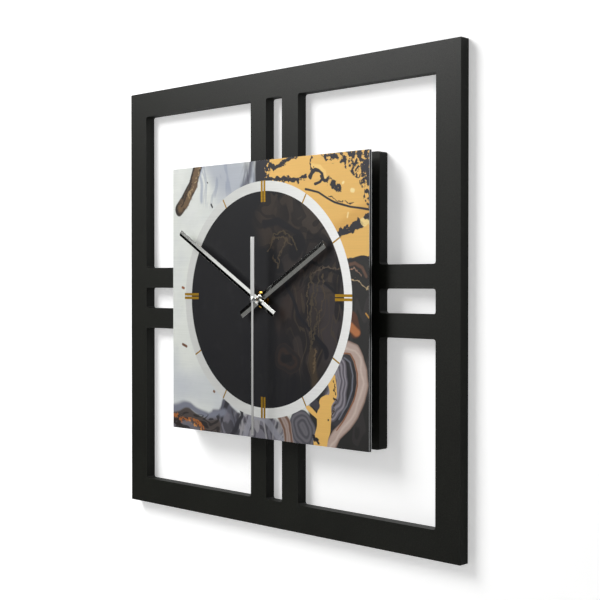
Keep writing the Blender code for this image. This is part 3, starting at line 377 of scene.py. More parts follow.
    def paint(self, shape: Stroke | Field | Swirl) -> None:
        """Paint one vein, area or set of fine lines over the picture."""
        if isinstance(shape, Swirl):
            self.swirl(shape)
            return
        if isinstance(shape, Stroke):
            share = self.cover(self.distance(shape.points, shape.drift), shape.half_width, shape.soft)
        else:
            share = self.area(shape.edges, shape.soft, shape.drift)
        if shape.broken:
            gaps = {"Value": self.noise(4.0), "From Min": shape.broken, "From Max": shape.broken + 0.04}
            share = self.times(share, add_node(self.tree, "ShaderNodeMapRange", {}, gaps).outputs["Result"])
        self.lay(shape.tone, self.times(share, shape.amount))

    def mottle(self, tone: str, size: float, low: float, high: float, amount: float) -> None:
        """Mix a tone over the picture where a noise of that size in millimetres is above the low bound."""
        patches = {"Value": self.noise(size), "From Min": low, "From Max": high}
        patches = add_node(self.tree, "ShaderNodeMapRange", {}, patches).outputs["Result"]
        self.lay(tone, self.times(patches, amount))

    def bands(self, points: tuple[Point, ...], reach: float, spacing: float, tones: tuple[str, str]) -> None:
        """Paint agate bands around a line.

        Args:
            points: The line's points.
            reach: How far out the bands go, in millimetres.
            spacing: From one band to the next.
            tones: The tones that alternate.
        """
        distance = self.distance(points, Drift.ROLLING)
        phase = self.times(distance, math.tau / spacing)
        swing = add_node(self.tree, "ShaderNodeMath", {"operation": "SINE"}, {0: phase})
        rings = {"Value": swing.outputs[0], "From Min": -0.7, "From Max": 0.7}
        rings = add_node(self.tree, "ShaderNodeMapRange", {}, rings).outputs["Result"]
        mixed = {0: rings, 6: linear(tones[0]), 7: linear(tones[1])}
        mixed = add_node(self.tree, "ShaderNodeMix", {"data_type": "RGBA"}, mixed).outputs[2]
        self.lay(mixed, self.cover(distance, reach, 1.0))


@dataclass(frozen=True)
class DialPrint:
    """A picture printed on aluminium whose fine level brush lines show through the ink as a satin sheen.

    The brush lines are about 0.4 mm apart in the real sheet and are drawn 0.7 mm apart, so that they show.
    """

    name: str
    ground: str
    shapes: tuple[Stroke | Field | Swirl, ...] = ()
    mottles: tuple[tuple[str, float, float, float, float], ...] = ()
    agates: tuple[tuple[tuple[Point, ...], float, float, tuple[str, str]], ...] = ()
    top: tuple[Stroke | Field | Swirl, ...] = ()
    metallic: float = 0.0
    roughness: float = 0.34
    line_length: float = 45.0
    line_pitch: float = 0.7
    brush: float = 1.0
    specular: float = 0.5

    def make(self, hub: Vector) -> bpy.types.Material:
        """Build the material about the hub's axis and return it."""
        material, tree, shader = new_material(self.name)
        canvas = Canvas(tree, hub, self.ground)
        for mottle in self.mottles:
            canvas.mottle(*mottle)
        for shape in self.shapes:
            canvas.paint(shape)
        for agate in self.agates:
            canvas.bands(*agate)
        for shape in self.top:
            canvas.paint(shape)
        stretched = {0: canvas.place, 1: (1 / self.line_length, 0, 1 / self.line_pitch)}
        lines = add_node(tree, "ShaderNodeVectorMath", {"operation": "MULTIPLY"}, stretched).outputs["Vector"]
        lines = {"Vector": lines, "Scale": 1.0, "Detail": 2.0}
        lines = add_node(tree, "ShaderNodeTexNoise", {}, lines).outputs["Fac"]
        dim, bright = 1 - 0.05 * self.brush, 1 + 0.04 * self.brush
        light = {"Value": lines, "From Min": 0.25, "From Max": 0.75, "To Min": dim, "To Max": bright}
        light = add_node(tree, "ShaderNodeMapRange", {}, light).outputs["Result"]
        tone = {0: canvas.tone, "Scale": light}
        tone = add_node(tree, "ShaderNodeVectorMath", {"operation": "SCALE"}, tone).outputs["Vector"]
        low, high = self.roughness - 0.05 * self.brush, self.roughness + 0.08 * self.brush
        rough = {"Value": lines, "From Min": 0.25, "From Max": 0.75, "To Min": low, "To Max": high}
        rough = add_node(tree, "ShaderNodeMapRange", {}, rough).outputs["Result"]
        relief = {"Height": lines, "Distance": 0.007 * MM * self.brush, "Strength": 1.0}
        relief = add_node(tree, "ShaderNodeBump", {}, relief).outputs["Normal"]
        shader.inputs["Metallic"].default_value = self.metallic
        shader.inputs["Specular IOR Level"].default_value = self.specular
        tree.links.new(tone, shader.inputs["Base Color"])
        tree.links.new(rough, shader.inputs["Roughness"])
        tree.links.new(relief, shader.inputs["Normal"])
        return material


GOLD = "#e6b764"
PINK_AGATE = (
    (90, -38), (98, -37), (105, -40), (110, -47), (113, -56), (114, -66),
    (111, -78), (105, -90), (97, -100), (86, -110), (76, -124),
)
# Pale marble with grey, brown and black veins and opaque gold, under the level sheen of brushed metal
MARBLE_PRINT = DialPrint(
    "Printed brushed aluminium, marble and gold",
    "#d9dcd6",
    mottles=(
        ("#c3c7cd", 60.0, 0.45, 0.75, 0.7),
        ("#e6e8e4", 26.0, 0.5, 0.8, 0.5),
        ("#a6abb8", 14.0, 0.6, 0.85, 0.25),
    ),
    shapes=(
        # Cool grey pools at the top and at the lower left of the marble
        Stroke(((-62, 125), (-44, 106), (-18, 98)), 17, "#9fa5b2", 22, amount=0.75),
        Swirl(((0, 92), (270, 12), (90, -84)), "#8089a0", (10, 46), 3, 0.3, 0.45, 16),
        Stroke(((-78, 118), (-84, 108), (-82, 92)), 1.8, "#939bb0", 3, amount=0.7),
        Stroke(((-95, -75), (-60, -90), (-48, -104)), 13, "#adb2c0", 24, amount=0.4),
        Stroke(((-122, -60), (-110, -88)), 9, "#b7bcc6", 20, amount=0.4),
        # The grey layers along the lower edge
        Field(((180, 101), (90, -66), (-90, -62)), "#6f6d76", 3.0),
        Stroke(((-36, -124), (-34, -104), (-46, -94), (-52, -110)), 4, "#55555f", 3),
        Swirl(((180, 99), (90, -56), (-90, -44)), "#343338", (14, 44), 8, 0.35, 0.75, 5),
        Swirl(((180, 99), (90, -34), (-90, -60)), "#a6a4a6", (18, 40), 7, 0.36, 0.6, 5),
        Stroke(((-26, -124), (-14, -104), (8, -108), (22, -122)), 3.4, "#8f8f98", 2, amount=0.8),
        Stroke(((-40, -124), (-27, -102), (-30, -92)), 2.0, "#2a2930", 1.6),
        Stroke(((-56, -122), (-48, -110), (-42, -92)), 2.6, "#2c2b31", 2.4),
        Stroke(((-124, -101), (-96, -99), (-72, -108), (-46, -104)), 4.2, "#787b88", 4.5),
        Field(((180, 109), (-90, 50)), "#6a676e", 3.0),
        Stroke(((-124, -110), (-100, -108), (-76, -117), (-56, -117)), 6.0, "#4b4340", 2.5),
        Swirl(((180, 106), (-90, 52)), "#1d1a1b", (26, 7), 5, 0.4, 0.85, 4),
        Stroke(
            ((-122, -106), (-108, -113), (-92, -112), (-78, -118)),
            2.2, "#a4622f", 1.2, drift=Drift.RAGGED, broken=0.45,
        ),
        Stroke(((-96, -114), (-80, -120)), 1.6, "#c98a4c", 1, drift=Drift.RAGGED, broken=0.5),
        Stroke(((-122, -112), (-104, -121)), 2.4, "#26201e", 1.2, drift=Drift.RAGGED, broken=0.4),
        Stroke(((-88, -124), (-70, -121), (-52, -124)), 1.4, "#a9abb5", 1.4),
        # The branch of brown at the upper left
        Stroke(((-84, 125), (-92, 104), (-103, 90), (-111, 83)), 5.8, "#2b221b", 1.2, drift=Drift.CALM),
        Stroke(((-84, 125), (-92, 104), (-103, 89), (-109, 84)), 4.6, "#6a543c", 3.6, drift=Drift.RAGGED),
        Stroke(((-90, 124), (-97, 102), (-108, 86)), 1.4, "#33261c", 1.0, drift=Drift.RAGGED),
        Stroke(((-82, 120), (-90, 104), (-98, 94)), 0.9, "#a08a68", 0.9, drift=Drift.RAGGED, broken=0.45),
        # The dark half
        Field(((90, -10), (0, 62)), "#1f1e24", 3.0, drift=Drift.CALM),
        Field(((90, 55), (180, -36)), "#201f1e", 3.0, drift=Drift.CALM),
        Swirl(((90, 60), (180, -30)), "#383334", (22, 60), 4, 0.3, 0.5),
        Stroke(((-14, 124), (-17, 108), (-24, 99)), 3.2, "#5b5d69", 6, amount=0.9),
        Swirl(((-90, 10), (90, -26), (0, 92)), "#3b3c48", (9, 60), 5, 0.3, 0.5, 6),
        # Gold leaf and its cracks
        Field(((90, 2), (0, 34)), GOLD, 0.5, drift=Drift.RAGGED),
        Stroke(((66, 44), (84, 56), (104, 64), (123, 72)), 7, "#c8913f", 10, amount=0.45),
        Stroke(((-2, 124), (3, 116), (1, 100)), 5.5, "#1f1e26", 0.4, drift=Drift.RAGGED, broken=0.42),
        Stroke(
            ((4, 120), (14, 112), (26, 117), (40, 122)), 2.4, "#1f1e26", 0.4, drift=Drift.RAGGED, broken=0.36,
        ),
        Stroke(
            ((0, 104), (20, 103), (42, 101), (52, 103)), 1.7, "#1f1e26", 0.4, drift=Drift.RAGGED, broken=0.34,
        ),
        Stroke(
            ((56, 103), (58, 107), (62, 109), (67, 108), (70, 105), (70, 101), (66, 98), (61, 98)),
            1.5, "#1f1e26", 0.4, drift=Drift.ROLLING, broken=0.3,
        ),
        Stroke(
            ((70, 101), (76, 99), (82, 95), (88, 91)), 3.0, "#1f1e26", 0.4, drift=Drift.RAGGED, broken=0.4,
        ),
        Stroke(((58, 112), (66, 112), (72, 107), (73, 101)), 1.6, "#f0c878", 1.0, drift=Drift.ROLLING),
        Stroke(((58, 120), (56, 112), (60, 107)), 1.0, "#1f1e26", 0.4, drift=Drift.RAGGED, broken=0.42),
        Stroke(((50, 92), (66, 89), (84, 81), (101, 76), (123, 72)), 0.9, "#1e1d24", 0.5, drift=Drift.CALM),
        Stroke(((76, 86), (92, 80), (104, 78)), 0.6, "#1e1d24", 0.4, drift=Drift.RAGGED, broken=0.4),
        Stroke(
            ((68, 45), (84, 53), (104, 59), (123, 68)), 3.6, "#232228", 0.5, drift=Drift.RAGGED, broken=0.3,
        ),
        Stroke(
            ((74, 122), (92, 118), (106, 108), (118, 96), (123, 80)),
            6.5, "#1d1c26", 0.4, drift=Drift.RAGGED, broken=0.47,
        ),
        Stroke(((100, 124), (116, 116), (123, 98)), 6.5, "#22212b", 0.4, drift=Drift.RAGGED, broken=0.42),
        Stroke(((102, 89), (104, 88.6)), 1.7, "#f3dc9e", 1.2, drift=Drift.CALM),
        Stroke(((92, 96), (92.6, 96.4)), 1.1, "#f3dc9e", 1.0, drift=Drift.CALM),
        Stroke(((98, 71), (97, 67)), 0.7, "#f3dc9e", 1.2, drift=Drift.CALM),
        Stroke(((113, 65), (117, 62), (121, 63)), 2.2, "#ecd08a", 1.4, drift=Drift.RAGGED),
        Stroke(((92, 25), (104, 33), (114, 35.5), (124, 34)), 2.0, "#1d1c20", 0.6, drift=Drift.CALM),
        Stroke(((112, 38.5), (124, 37)), 0.7, GOLD, 0.5, drift=Drift.RAGGED),
        # Brown and cream threads in the dark half
        Stroke(((98, 29), (106, 31), (113, 27), (117, 20)), 1.3, "#5f4436", 1.4, drift=Drift.CALM),
        Stroke(((97, 25), (106, 26), (112, 21)), 0.5, "#9b7a66", 0.6, drift=Drift.RAGGED),
        Stroke(
            ((96, 19), (108, 17), (114, 12), (123, 9)), 0.5, "#b29c78", 0.5, drift=Drift.RAGGED, broken=0.3,
        ),
        Stroke(((103, -13), (106, -25)), 4.9, "#53301f", 1.6, drift=Drift.CALM),
        Stroke(((101, -20), (107, -25)), 3.3, "#b26f42", 2.2, drift=Drift.CALM),
        Stroke(((117, -9), (120, -13)), 0.7, "#b5853a", 0.5, drift=Drift.CALM),
    ),
    agates=(
        (((90, -54), (94, -66), (91, -80), (84, -90)), 17.5, 8.0, ("#232226", "#323136")),
        (((84, -56), (87, -66), (85, -78), (80, -88)), 11.0, 3.8, ("#59555d", "#8b868e")),
        (((46, -104), (50, -112)), 13.0, 4.6, ("#4a4950", "#66646a")),
        (((22, -98), (29, -108), (33, -124)), 5.4, 4.6, ("#6e5140", "#9c8c86")),
    ),
    top=(
        Stroke(PINK_AGATE, 5.6, "#74584a", 0.8, drift=Drift.CALM),
        Stroke(PINK_AGATE, 4.8, "#b7a298", 3.0, drift=Drift.CALM),
        Stroke(PINK_AGATE, 0.9, "#c9b8ae", 2.0, drift=Drift.ROLLING),
        Stroke(
            ((93, -42), (101, -43), (106, -49), (109, -58), (109, -68), (105, -80), (97, -92), (86, -106)),
            0.6, "#8e5c3e", 0.8, drift=Drift.CALM,
        ),
        Stroke(
            ((94, -46), (101, -50), (104, -60), (103, -72), (97, -85), (88, -96)),
            0.7, "#6f717b", 1.0, drift=Drift.CALM,
        ),
        Stroke(((80, -63), (81, -78), (76, -90)), 4.0, GOLD, 0.5, drift=Drift.ROLLING),
        Stroke(((74, -86), (72, -98), (69, -110), (67, -124)), 7.6, GOLD, 0.5, drift=Drift.ROLLING),
        Stroke(((52, -88), (60, -93), (68, -97), (72, -104)), 1.8, GOLD, 0.5, drift=Drift.ROLLING),
        Stroke(((58, -85), (64, -88)), 3.4, "#3b3a42", 0.8, drift=Drift.ROLLING),
        Stroke(((60, -114), (66, -118)), 1.6, "#1c1b20", 0.5, drift=Drift.RAGGED, broken=0.4),
        Stroke(((83, -66), (84, -84), (78, -100)), 1.0, "#3a2c1c", 0.5, drift=Drift.RAGGED, broken=0.46),
        # Fine flecks in the marble
        Stroke(((-107, 10.6), (-105, 10)), 1.1, "#8e5535", 0.7, drift=Drift.CALM),
        Stroke(((-107, -43), (-102, -44.5)), 1.2, "#6c4731", 0.7, drift=Drift.CALM),
        Stroke(((-64, -84), (-63, -84.4)), 1.2, "#7c5a48", 0.9, drift=Drift.CALM),
        Stroke(((-67.6, 86), (-65.6, 83.6)), 0.9, "#2c2b2e", 0.6, drift=Drift.CALM),
        Stroke(((-72.6, 105), (-72, 104.4)), 0.6, "#2c2b2e", 0.5, drift=Drift.CALM),
    ),
    metallic=0.12,
    roughness=0.36,
)
# A dense ink that hides nearly all of the metal: smoky black, with brown clouds and threads
SMOKE_PRINT = DialPrint(
    "Printed brushed aluminium, smoke grey disc",
    "#151518",
    mottles=(("#111116", 34.0, 0.42, 0.7, 0.6), ("#2b2a2d", 16.0, 0.55, 0.8, 0.3)),
    shapes=(
        Field(((90, -6), (0, 42)), "#322a25", 12.0, drift=Drift.FLOWING),
        Field(((90, 20), (180, -40), (0, -60)), "#2d2726", 16.0, drift=Drift.FLOWING),
        Stroke(((50, 78), (70, 58)), 12, "#3a322d", 14),
        Stroke(((80, 34), (84, 26)), 8, "#3b3433", 8),
        Stroke(((70, 8), (80, -14), (78, -40)), 10, "#363031", 8),
        Stroke(((44, 6), (30, -16)), 12, "#2e2522", 12),
        Swirl(((90, -34), (180, 24)), "#0f0f15", (18, 90), 4, 0.35, 0.55, 20),
        Swirl(((90, 20), (0, -70)), "#0f0e13", (30, 60), 4, 0.35, 0.7, 20),
        Swirl(((90, 36), (0, -66), (180, -34)), "#443a2e", (16, 60), 5, 0.08, 0.5, 16),
        Swirl(((90, -20), (0, 10)), "#101014", (34, 20), 4, 0.3, 0.6, 16),
        Stroke(((-4, 96), (-14, 78), (-22, 56), (-12, 42), (8, 38), (20, 30)), 5.5, "#131317", 2.4),
        Stroke(((2, 66), (22, 66), (38, 58), (44, 40)), 3.2, "#17161a", 2),
        Stroke(((6, 92), (24, 90), (44, 92)), 1.0, "#131316", 1, drift=Drift.RAGGED),
        Stroke(((36, 50), (38, 40)), 6.0, "#131216", 3),
        Stroke(((50, 26), (58, 32), (74, 26), (90, 22)), 1.6, "#141316", 1.2, drift=Drift.RAGGED),
        Stroke(((26, 18), (38, -2), (52, -18), (62, -30), (72, -44)), 2.0, "#13131a", 1.6),
        Stroke(((76, 16), (86, 4), (94, -10)), 1.6, "#15151a", 1.2),
        Stroke(
            ((8, 48), (14, 56), (26, 58), (36, 52), (40, 42)),
            0.8, "#453b2b", 1.0, drift=Drift.RAGGED, broken=0.36,
        ),
        Stroke(((6, 42), (12, 52), (24, 54), (34, 46)), 0.6, "#4a3f30", 0.8, drift=Drift.RAGGED),
        Stroke(((12, 38), (18, 28), (20, 40), (28, 50)), 0.6, "#4a3f30", 0.8, drift=Drift.RAGGED),
        Stroke(
            ((56, 22), (60, 8), (56, -12), (58, -36)), 0.9, "#433a2d", 1.0, drift=Drift.RAGGED, broken=0.36,
        ),
        Stroke(
            ((66, 18), (62, 2), (64, -18), (56, -42)), 0.7, "#433a2d", 0.8, drift=Drift.RAGGED, broken=0.4,
        ),
        Stroke(((60, 26), (52, 6), (54, -20)), 0.5, "#4a3f30", 0.6, drift=Drift.RAGGED),
        Stroke(((70, 22), (72, 4), (66, -12), (66, -30)), 0.5, "#4a3f30", 0.6, drift=Drift.RAGGED),
        Stroke(((60, 22), (72, 28), (90, 26)), 0.6, "#54483c", 0.8, drift=Drift.RAGGED, broken=0.36),
        Stroke(((58, -44), (62, -62), (58, -74)), 3.0, "#3d3226", 4),
        Stroke(((62, -40), (60, -60)), 0.7, "#5d4d38", 0.8, drift=Drift.RAGGED),
    ),
    agates=((((25, -48), (33, -52)), 11.0, 7.0, ("#2c211d", "#1d1a1b")),),
    top=(Stroke(((25, -50), (32, -49)), 3.4, "#131215", 1.6, drift=Drift.CALM),),
    roughness=0.42,
    brush=0.35,
    specular=0.26,
)
# Clear lacquer over the bare brushed metal: pale grey, with a painted sheen that turns it white towards the
# right
RING_PRINT = DialPrint(
    "Brushed aluminium, clear satin ring, painted sheen",
    "#cfd0cd",
    # Painted sheen: a soft field that lightens the ring to white towards the right
    shapes=(Field(((92, 34),), "#f6f6f4", 130.0, drift=Drift.CALM),),
    metallic=0.3,
    roughness=0.38,
)
# A dull near-black with a faint green-brown fleck, a little glossier than the cut fibre
FRONT_MDF = StainedMdf("Stained MDF, sanded face", "#0b0c09", "#22231d", 0.37)
# Cut fibre soaks up more stain: darker, rougher and with a finer fleck
MILLED_MDF = StainedMdf("Stained MDF, milled edge", "#0b0c09", "#181914", 0.55, fleck_size=0.6, specular=0.1)
# Turned by diamond: near mirrors, so that one side of a ridge is bright and the other black
HAND_ALUMINIUM = Finish(
    "Aluminium, diamond-cut", "#d2d3d0", "#dfe0dc", 0.09, 0.02, 1.0, (3.0, 3.0, 3.0), 0.0002,
)
# An even pale grey with faint lines along the hand
SATIN_ALUMINIUM = Finish(
    "Aluminium, satin anodised", "#cdcecd", "#dededc", 0.34, 0.08, 1.0, (0.35, 1.0, 30.0), 0.004,
)
# Hot foil: a dense ochre that gleams a little
GOLD_FOIL = Finish("Gold hot foil, satin", "#9a7820", "#b98e2c", 0.3, 0.1, 0.85, (8.0, 8.0, 0.5), 0.004)
# A saw's fine ridges across the sheet, bright and a little rough
CUT_ALUMINIUM = Finish("Aluminium, saw-cut edge", "#c4c6c8", "#dfe1e2", 0.3, 0.15, 1.0, (3.0, 0.3, 3.0), 0.01)
# The level streaks that the rolling mill leaves on the bare back
MILL_ALUMINIUM = Finish(
    "Aluminium, mill finish", "#b4b6b8", "#c6c8ca", 0.36, 0.12, 1.0, (40.0, 1.0, 1.2), 0.01,
)
# The matt black line between the two skins
POLYETHYLENE = Finish("Black polyethylene core", "#0f0f10", "#19191b", 0.55, 0.15, 0.0, (0.8, 0.8, 0.8), 0.02)
# Rings of the turning tool, 0.25 mm apart, on a warm yellow metal
BRASS = Finish("Brass, turned", "#c9963a", "#dcb052", 0.2, 0.12, 1.0, (1.6, 0.25, 1.6), 0.004)
# Almost a mirror
CHROME = Finish("Polished nickel plate", "#c9cacb", "#dedfdf", 0.06, 0.05, 1.0, (2.0, 2.0, 2.0), 0.001)
# Small blue-grey spangle
STEEL = Finish("Zinc-plated steel", "#a2a6ab", "#bcc0c4", 0.32, 0.14, 1.0, (1.4, 1.4, 1.4), 0.008)
# Warmer than zinc, with the drawn lines of spring strip
NICKEL = Finish("Nickel-plated spring steel", "#b5b2ab", "#cbc8c1", 0.24, 0.12, 1.0, (2.5, 0.6, 2.5), 0.004)
# The fine orange peel that a spark-eroded mould gives, 0.5 mm
CASE_ABS = Finish(
    "Black ABS, spark-eroded mould grain", "#151516", "#1e1e20", 0.46, 0.16, 0.0, (0.5, 0.5, 0.5), 0.03,
)
# Smoother and glossier than the case, from a polished mould
KNOB_ABS = Finish("Black ABS, gloss moulded", "#121213", "#19191a", 0.28, 0.1, 0.0, (0.9, 0.9, 0.9), 0.006)
# A waxy off-white with a soft gloss
ACETAL = Finish("White acetal, moulded", "#e2e1da", "#edece6", 0.38, 0.12, 0.0, (0.9, 0.9, 0.9), 0.008)
# Dull and dusty black
RUBBER = Finish("Black rubber", "#101011", "#1a1a1b", 0.78, 0.12, 0.0, (0.4, 0.4, 0.4), 0.02)
# Dark grey ceramic grit, 0.3 mm
FERRITE = Finish("Sintered ferrite", "#2c2c2f", "#3a3a3d", 0.5, 0.2, 0.2, (0.3, 0.3, 0.3), 0.01)
# Turns of wire side by side, drawn 0.14 mm apart though the real wire is thinner
COPPER = Finish("Enamelled copper wire, wound", "#8e4a20", "#b96a34", 0.24, 0.1, 1.0, (0.14, 6.0, 6.0), 0.04)
# Brown laminated paper with a faint fibre
BOARD = Finish("Phenolic paper board", "#8a5a26", "#9c6a32", 0.46, 0.12, 0.0, (3.0, 1.0, 0.6), 0.004)
# A glossy poured drop with slow waves
EPOXY = Finish("Black epoxy drop", "#0b0b0c", "#131314", 0.2, 0.1, 0.0, (2.0, 2.0, 2.0), 0.01)
# Clear varnish over plain green, slightly rippled where the film shrank along the cell
CELL_SLEEVE = Finish(
    "Cell sleeve, green shrink film", "#1c5a38", "#236743", 0.22, 0.1, 0.1, (30.0, 3.0, 3.0), 0.004, coat=0.6,
)
# The same film, printed pale round the positive end
CELL_BAND = Finish(
    "Cell sleeve, pale band", "#c9c6b8", "#d6d3c6", 0.22, 0.1, 0.1, (30.0, 3.0, 3.0), 0.004, coat=0.6,
)
# Plain matt white, for the floor
FLOOR_PAINT = Finish("Matt white floor paint", "#eeeeee", "#f4f4f4", 0.9, 0.05, 0.0, (1.6, 1.6, 1.6), 0.01)


# ---- Modelling ----


def circle(radius: float, steps: int) -> list[Point]:
    """Return (x, z) points on a circle, clockwise from the top."""
    angles = [math.tau * step / steps for step in range(steps)]
    return [(radius * math.sin(angle), radius * math.cos(angle)) for angle in angles]


def slab(outline: list[Point], holes: list[list[Point]], back: float, front: float) -> Solid:
    """Make a plate between two distances out, from flat outlines by filling and extruding.

    Args:
        outline: The outer (x, z) points.
        holes: The outlines of its holes.
        back: Its back face, out from the wall.
        front: Its front face.

    Returns:
        The solid.
    """
    bm = bmesh.new()
    for loop in [outline, *holes]:
        points = [bm.verts.new((x, -back, z)) for x, z in loop]
        for start, end in zip(points, points[1:] + points[:1]):
            bm.edges.new((start, end))
    bmesh.ops.triangle_fill(bm, use_beauty=True, edges=bm.edges[:], normal=(0, 1, 0))
    raised = bmesh.ops.extrude_face_region(bm, geom=bm.faces[:])["geom"]
    raised = [part for part in raised if isinstance(part, bmesh.types.BMVert)]
    bmesh.ops.translate(bm, verts=raised, vec=(0, back - front, 0))
    bmesh.ops.recalc_face_normals(bm, faces=bm.faces[:])
    return bm


def lathe(profile: list[Point], steps: int = 64) -> Solid:
    """Turn a closed section about the Y axis.

    Args:
        profile: (radius, out) points around the section.
        steps: Facets around.

    Returns:
        The solid.
    """
    bm = bmesh.new()
    points = [bm.verts.new((0, -out, radius)) for radius, out in profile]
    pairs = [(a, b) for a, b in zip(points, points[1:] + points[:1]) if a.co.z > 1e-9 or b.co.z > 1e-9]
    edges = [bm.edges.new(pair) for pair in pairs]
    around = {"cent": (0, 0, 0), "axis": (0, 1, 0), "angle": math.tau, "use_merge": True}
    bmesh.ops.spin(bm, geom=points + edges, steps=steps, **around)
    bmesh.ops.remove_doubles(bm, verts=bm.verts[:], dist=1e-7)
    bmesh.ops.recalc_face_normals(bm, faces=bm.faces[:])
    return bm


def moved(bm: Solid, place: Vector) -> Solid:
    """Shift a solid to a place and return it."""
    bmesh.ops.translate(bm, verts=bm.verts[:], vec=place)
    return bm


def softened(bm: Solid, width: float, segments: int = 2, angle: float = 35.0) -> Solid:
    """Round the edges of a solid that are sharper than an angle in degrees, and return it."""
    bmesh.ops.dissolve_limit(bm, angle_limit=math.radians(0.5), verts=bm.verts[:], edges=bm.edges[:])
    sharp = [edge for edge in bm.edges if edge.is_manifold and edge.calc_face_angle() > math.radians(angle)]
    rounding = {"offset": width, "segments": segments, "profile": 0.5, "affect": "EDGES", "clamp_overlap": True}
    bmesh.ops.bevel(bm, geom=sharp, material=-1, **rounding)
    return bm


class Workshop:
    """Makes finished objects: it keeps the frame, the dial's axis and one material for each finish."""

    def __init__(self, frame: dict) -> None:
        """Take the frame and find the dial's axis from the plate's box."""
        low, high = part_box("dial_front_skin")
        self.frame = frame
        self.hub = Vector(((low.x + high.x) / 2, 0, (low.z + high.z) / 2))
        self.materials: dict[str, bpy.types.Material] = {}

    def material(self, finish: Finish | StainedMdf | DialPrint) -> bpy.types.Material:
        """Return the finish's material, made once."""
        if finish.name not in self.materials:
            printed = isinstance(finish, DialPrint)
            self.materials[finish.name] = finish.make(self.hub) if printed else finish.make()
        return self.materials[finish.name]

    def copy_of(self, node: str) -> Solid:
        """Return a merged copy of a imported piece's mesh."""
        bm = bmesh.new()
        bm.from_mesh(self.frame["nodes"][node].data)
        bmesh.ops.remove_doubles(bm, verts=bm.verts[:], dist=MERGE_DISTANCE)
        return bm

    def piece(
        self,
        name: str,
        bm: Solid,
        finish: Finish | StainedMdf | DialPrint,
        body: str,
        slot: str,
        replaced: tuple[str, ...] = (),
        second: Finish | StainedMdf | None = None,
        picks: Callable[[bmesh.types.BMFace], bool] | None = None,
        crease: float = 40.0,
    ) -> bpy.types.Object:
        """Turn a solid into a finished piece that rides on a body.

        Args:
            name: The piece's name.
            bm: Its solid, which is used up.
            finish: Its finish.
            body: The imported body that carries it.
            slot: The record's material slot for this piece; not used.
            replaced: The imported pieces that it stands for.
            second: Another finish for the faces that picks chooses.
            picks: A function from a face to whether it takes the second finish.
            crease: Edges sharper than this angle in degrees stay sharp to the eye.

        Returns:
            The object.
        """
        if second is not None:
            for face in bm.faces:
                face.material_index = 1 if picks(face) else 0
        mesh = bpy.data.meshes.new(name)
        bm.to_mesh(mesh)
        bm.free()
        mesh.materials.append(self.material(finish))
        if second is not None:
            mesh.materials.append(self.material(second))
        mesh.shade_smooth()
        mesh.set_sharp_from_angle(angle=math.radians(crease))
        made = bpy.data.objects.new(name, mesh)
        bpy.context.scene.collection.objects.link(made)
        made.modifiers.new("Even shading", "WEIGHTED_NORMAL").keep_sharp = True
        if replaced:
            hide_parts(*replaced)
        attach(made, body)
        LOG.info("%s: %d faces, %s", name, len(mesh.polygons), finish.name)
        return made

    def dress(self, finish: Finish, *nodes: str) -> None:
        """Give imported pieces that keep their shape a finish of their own."""
        for node in nodes:
            slots = self.frame["nodes"][node].material_slots
            for slot in slots:
                slot.link = "OBJECT"
                slot.material = self.material(finish)
            LOG.info("%s: dressed in %s", node, finish.name)


# ---- Sub-assemblies ----


@dataclass
class WallSheet:
    """The milled MDF sheet with its windows, slots and bars, and the blocks that hold the dial off it."""

    shop: Workshop
    edge_round: float = 0.35 * MM
    block_round: float = 0.4 * MM

    def build(self) -> None:
        """Make the sheet and the four blocks."""
        sheet = softened(self.shop.copy_of("frame_sheet"), self.edge_round, 3)
        replaced = ("frame_sheet",)
        milled = (MILLED_MDF, self.milled)
        self.shop.piece("mdf_sheet", sheet, FRONT_MDF, "clock_body", "black_mdf", replaced, *milled)
        for node in ("upper_left", "upper_right", "lower_left", "lower_right"):
            block = softened(self.shop.copy_of("standoff_block_" + node), self.block_round, 3)
            replaced = ("standoff_block_" + node,)
            self.shop.piece("block_" + node, block, MILLED_MDF, "clock_body", "black_mdf", replaced)

    @staticmethod
    def milled(face: bmesh.types.BMFace) -> bool:
        """Tell whether a face is a milled wall and not one of the sheet's own faces."""
        return abs(face.normal.y) < 0.6


@dataclass
class Hanger:
    """The keyhole plate in the back of the top rail, and its two countersunk screws."""

    shop: Workshop
    edge_round: float = 0.15 * MM

    def build(self) -> None:
        """Make the plate and dress the screws."""
        plate = softened(self.shop.copy_of("hanger_plate"), self.edge_round)
        self.shop.piece("keyhole_plate", plate, STEEL, "clock_body", "zinc_plated_steel", ("hanger_plate",))
        self.shop.dress(STEEL, "hanger_screw_left", "hanger_screw_right")


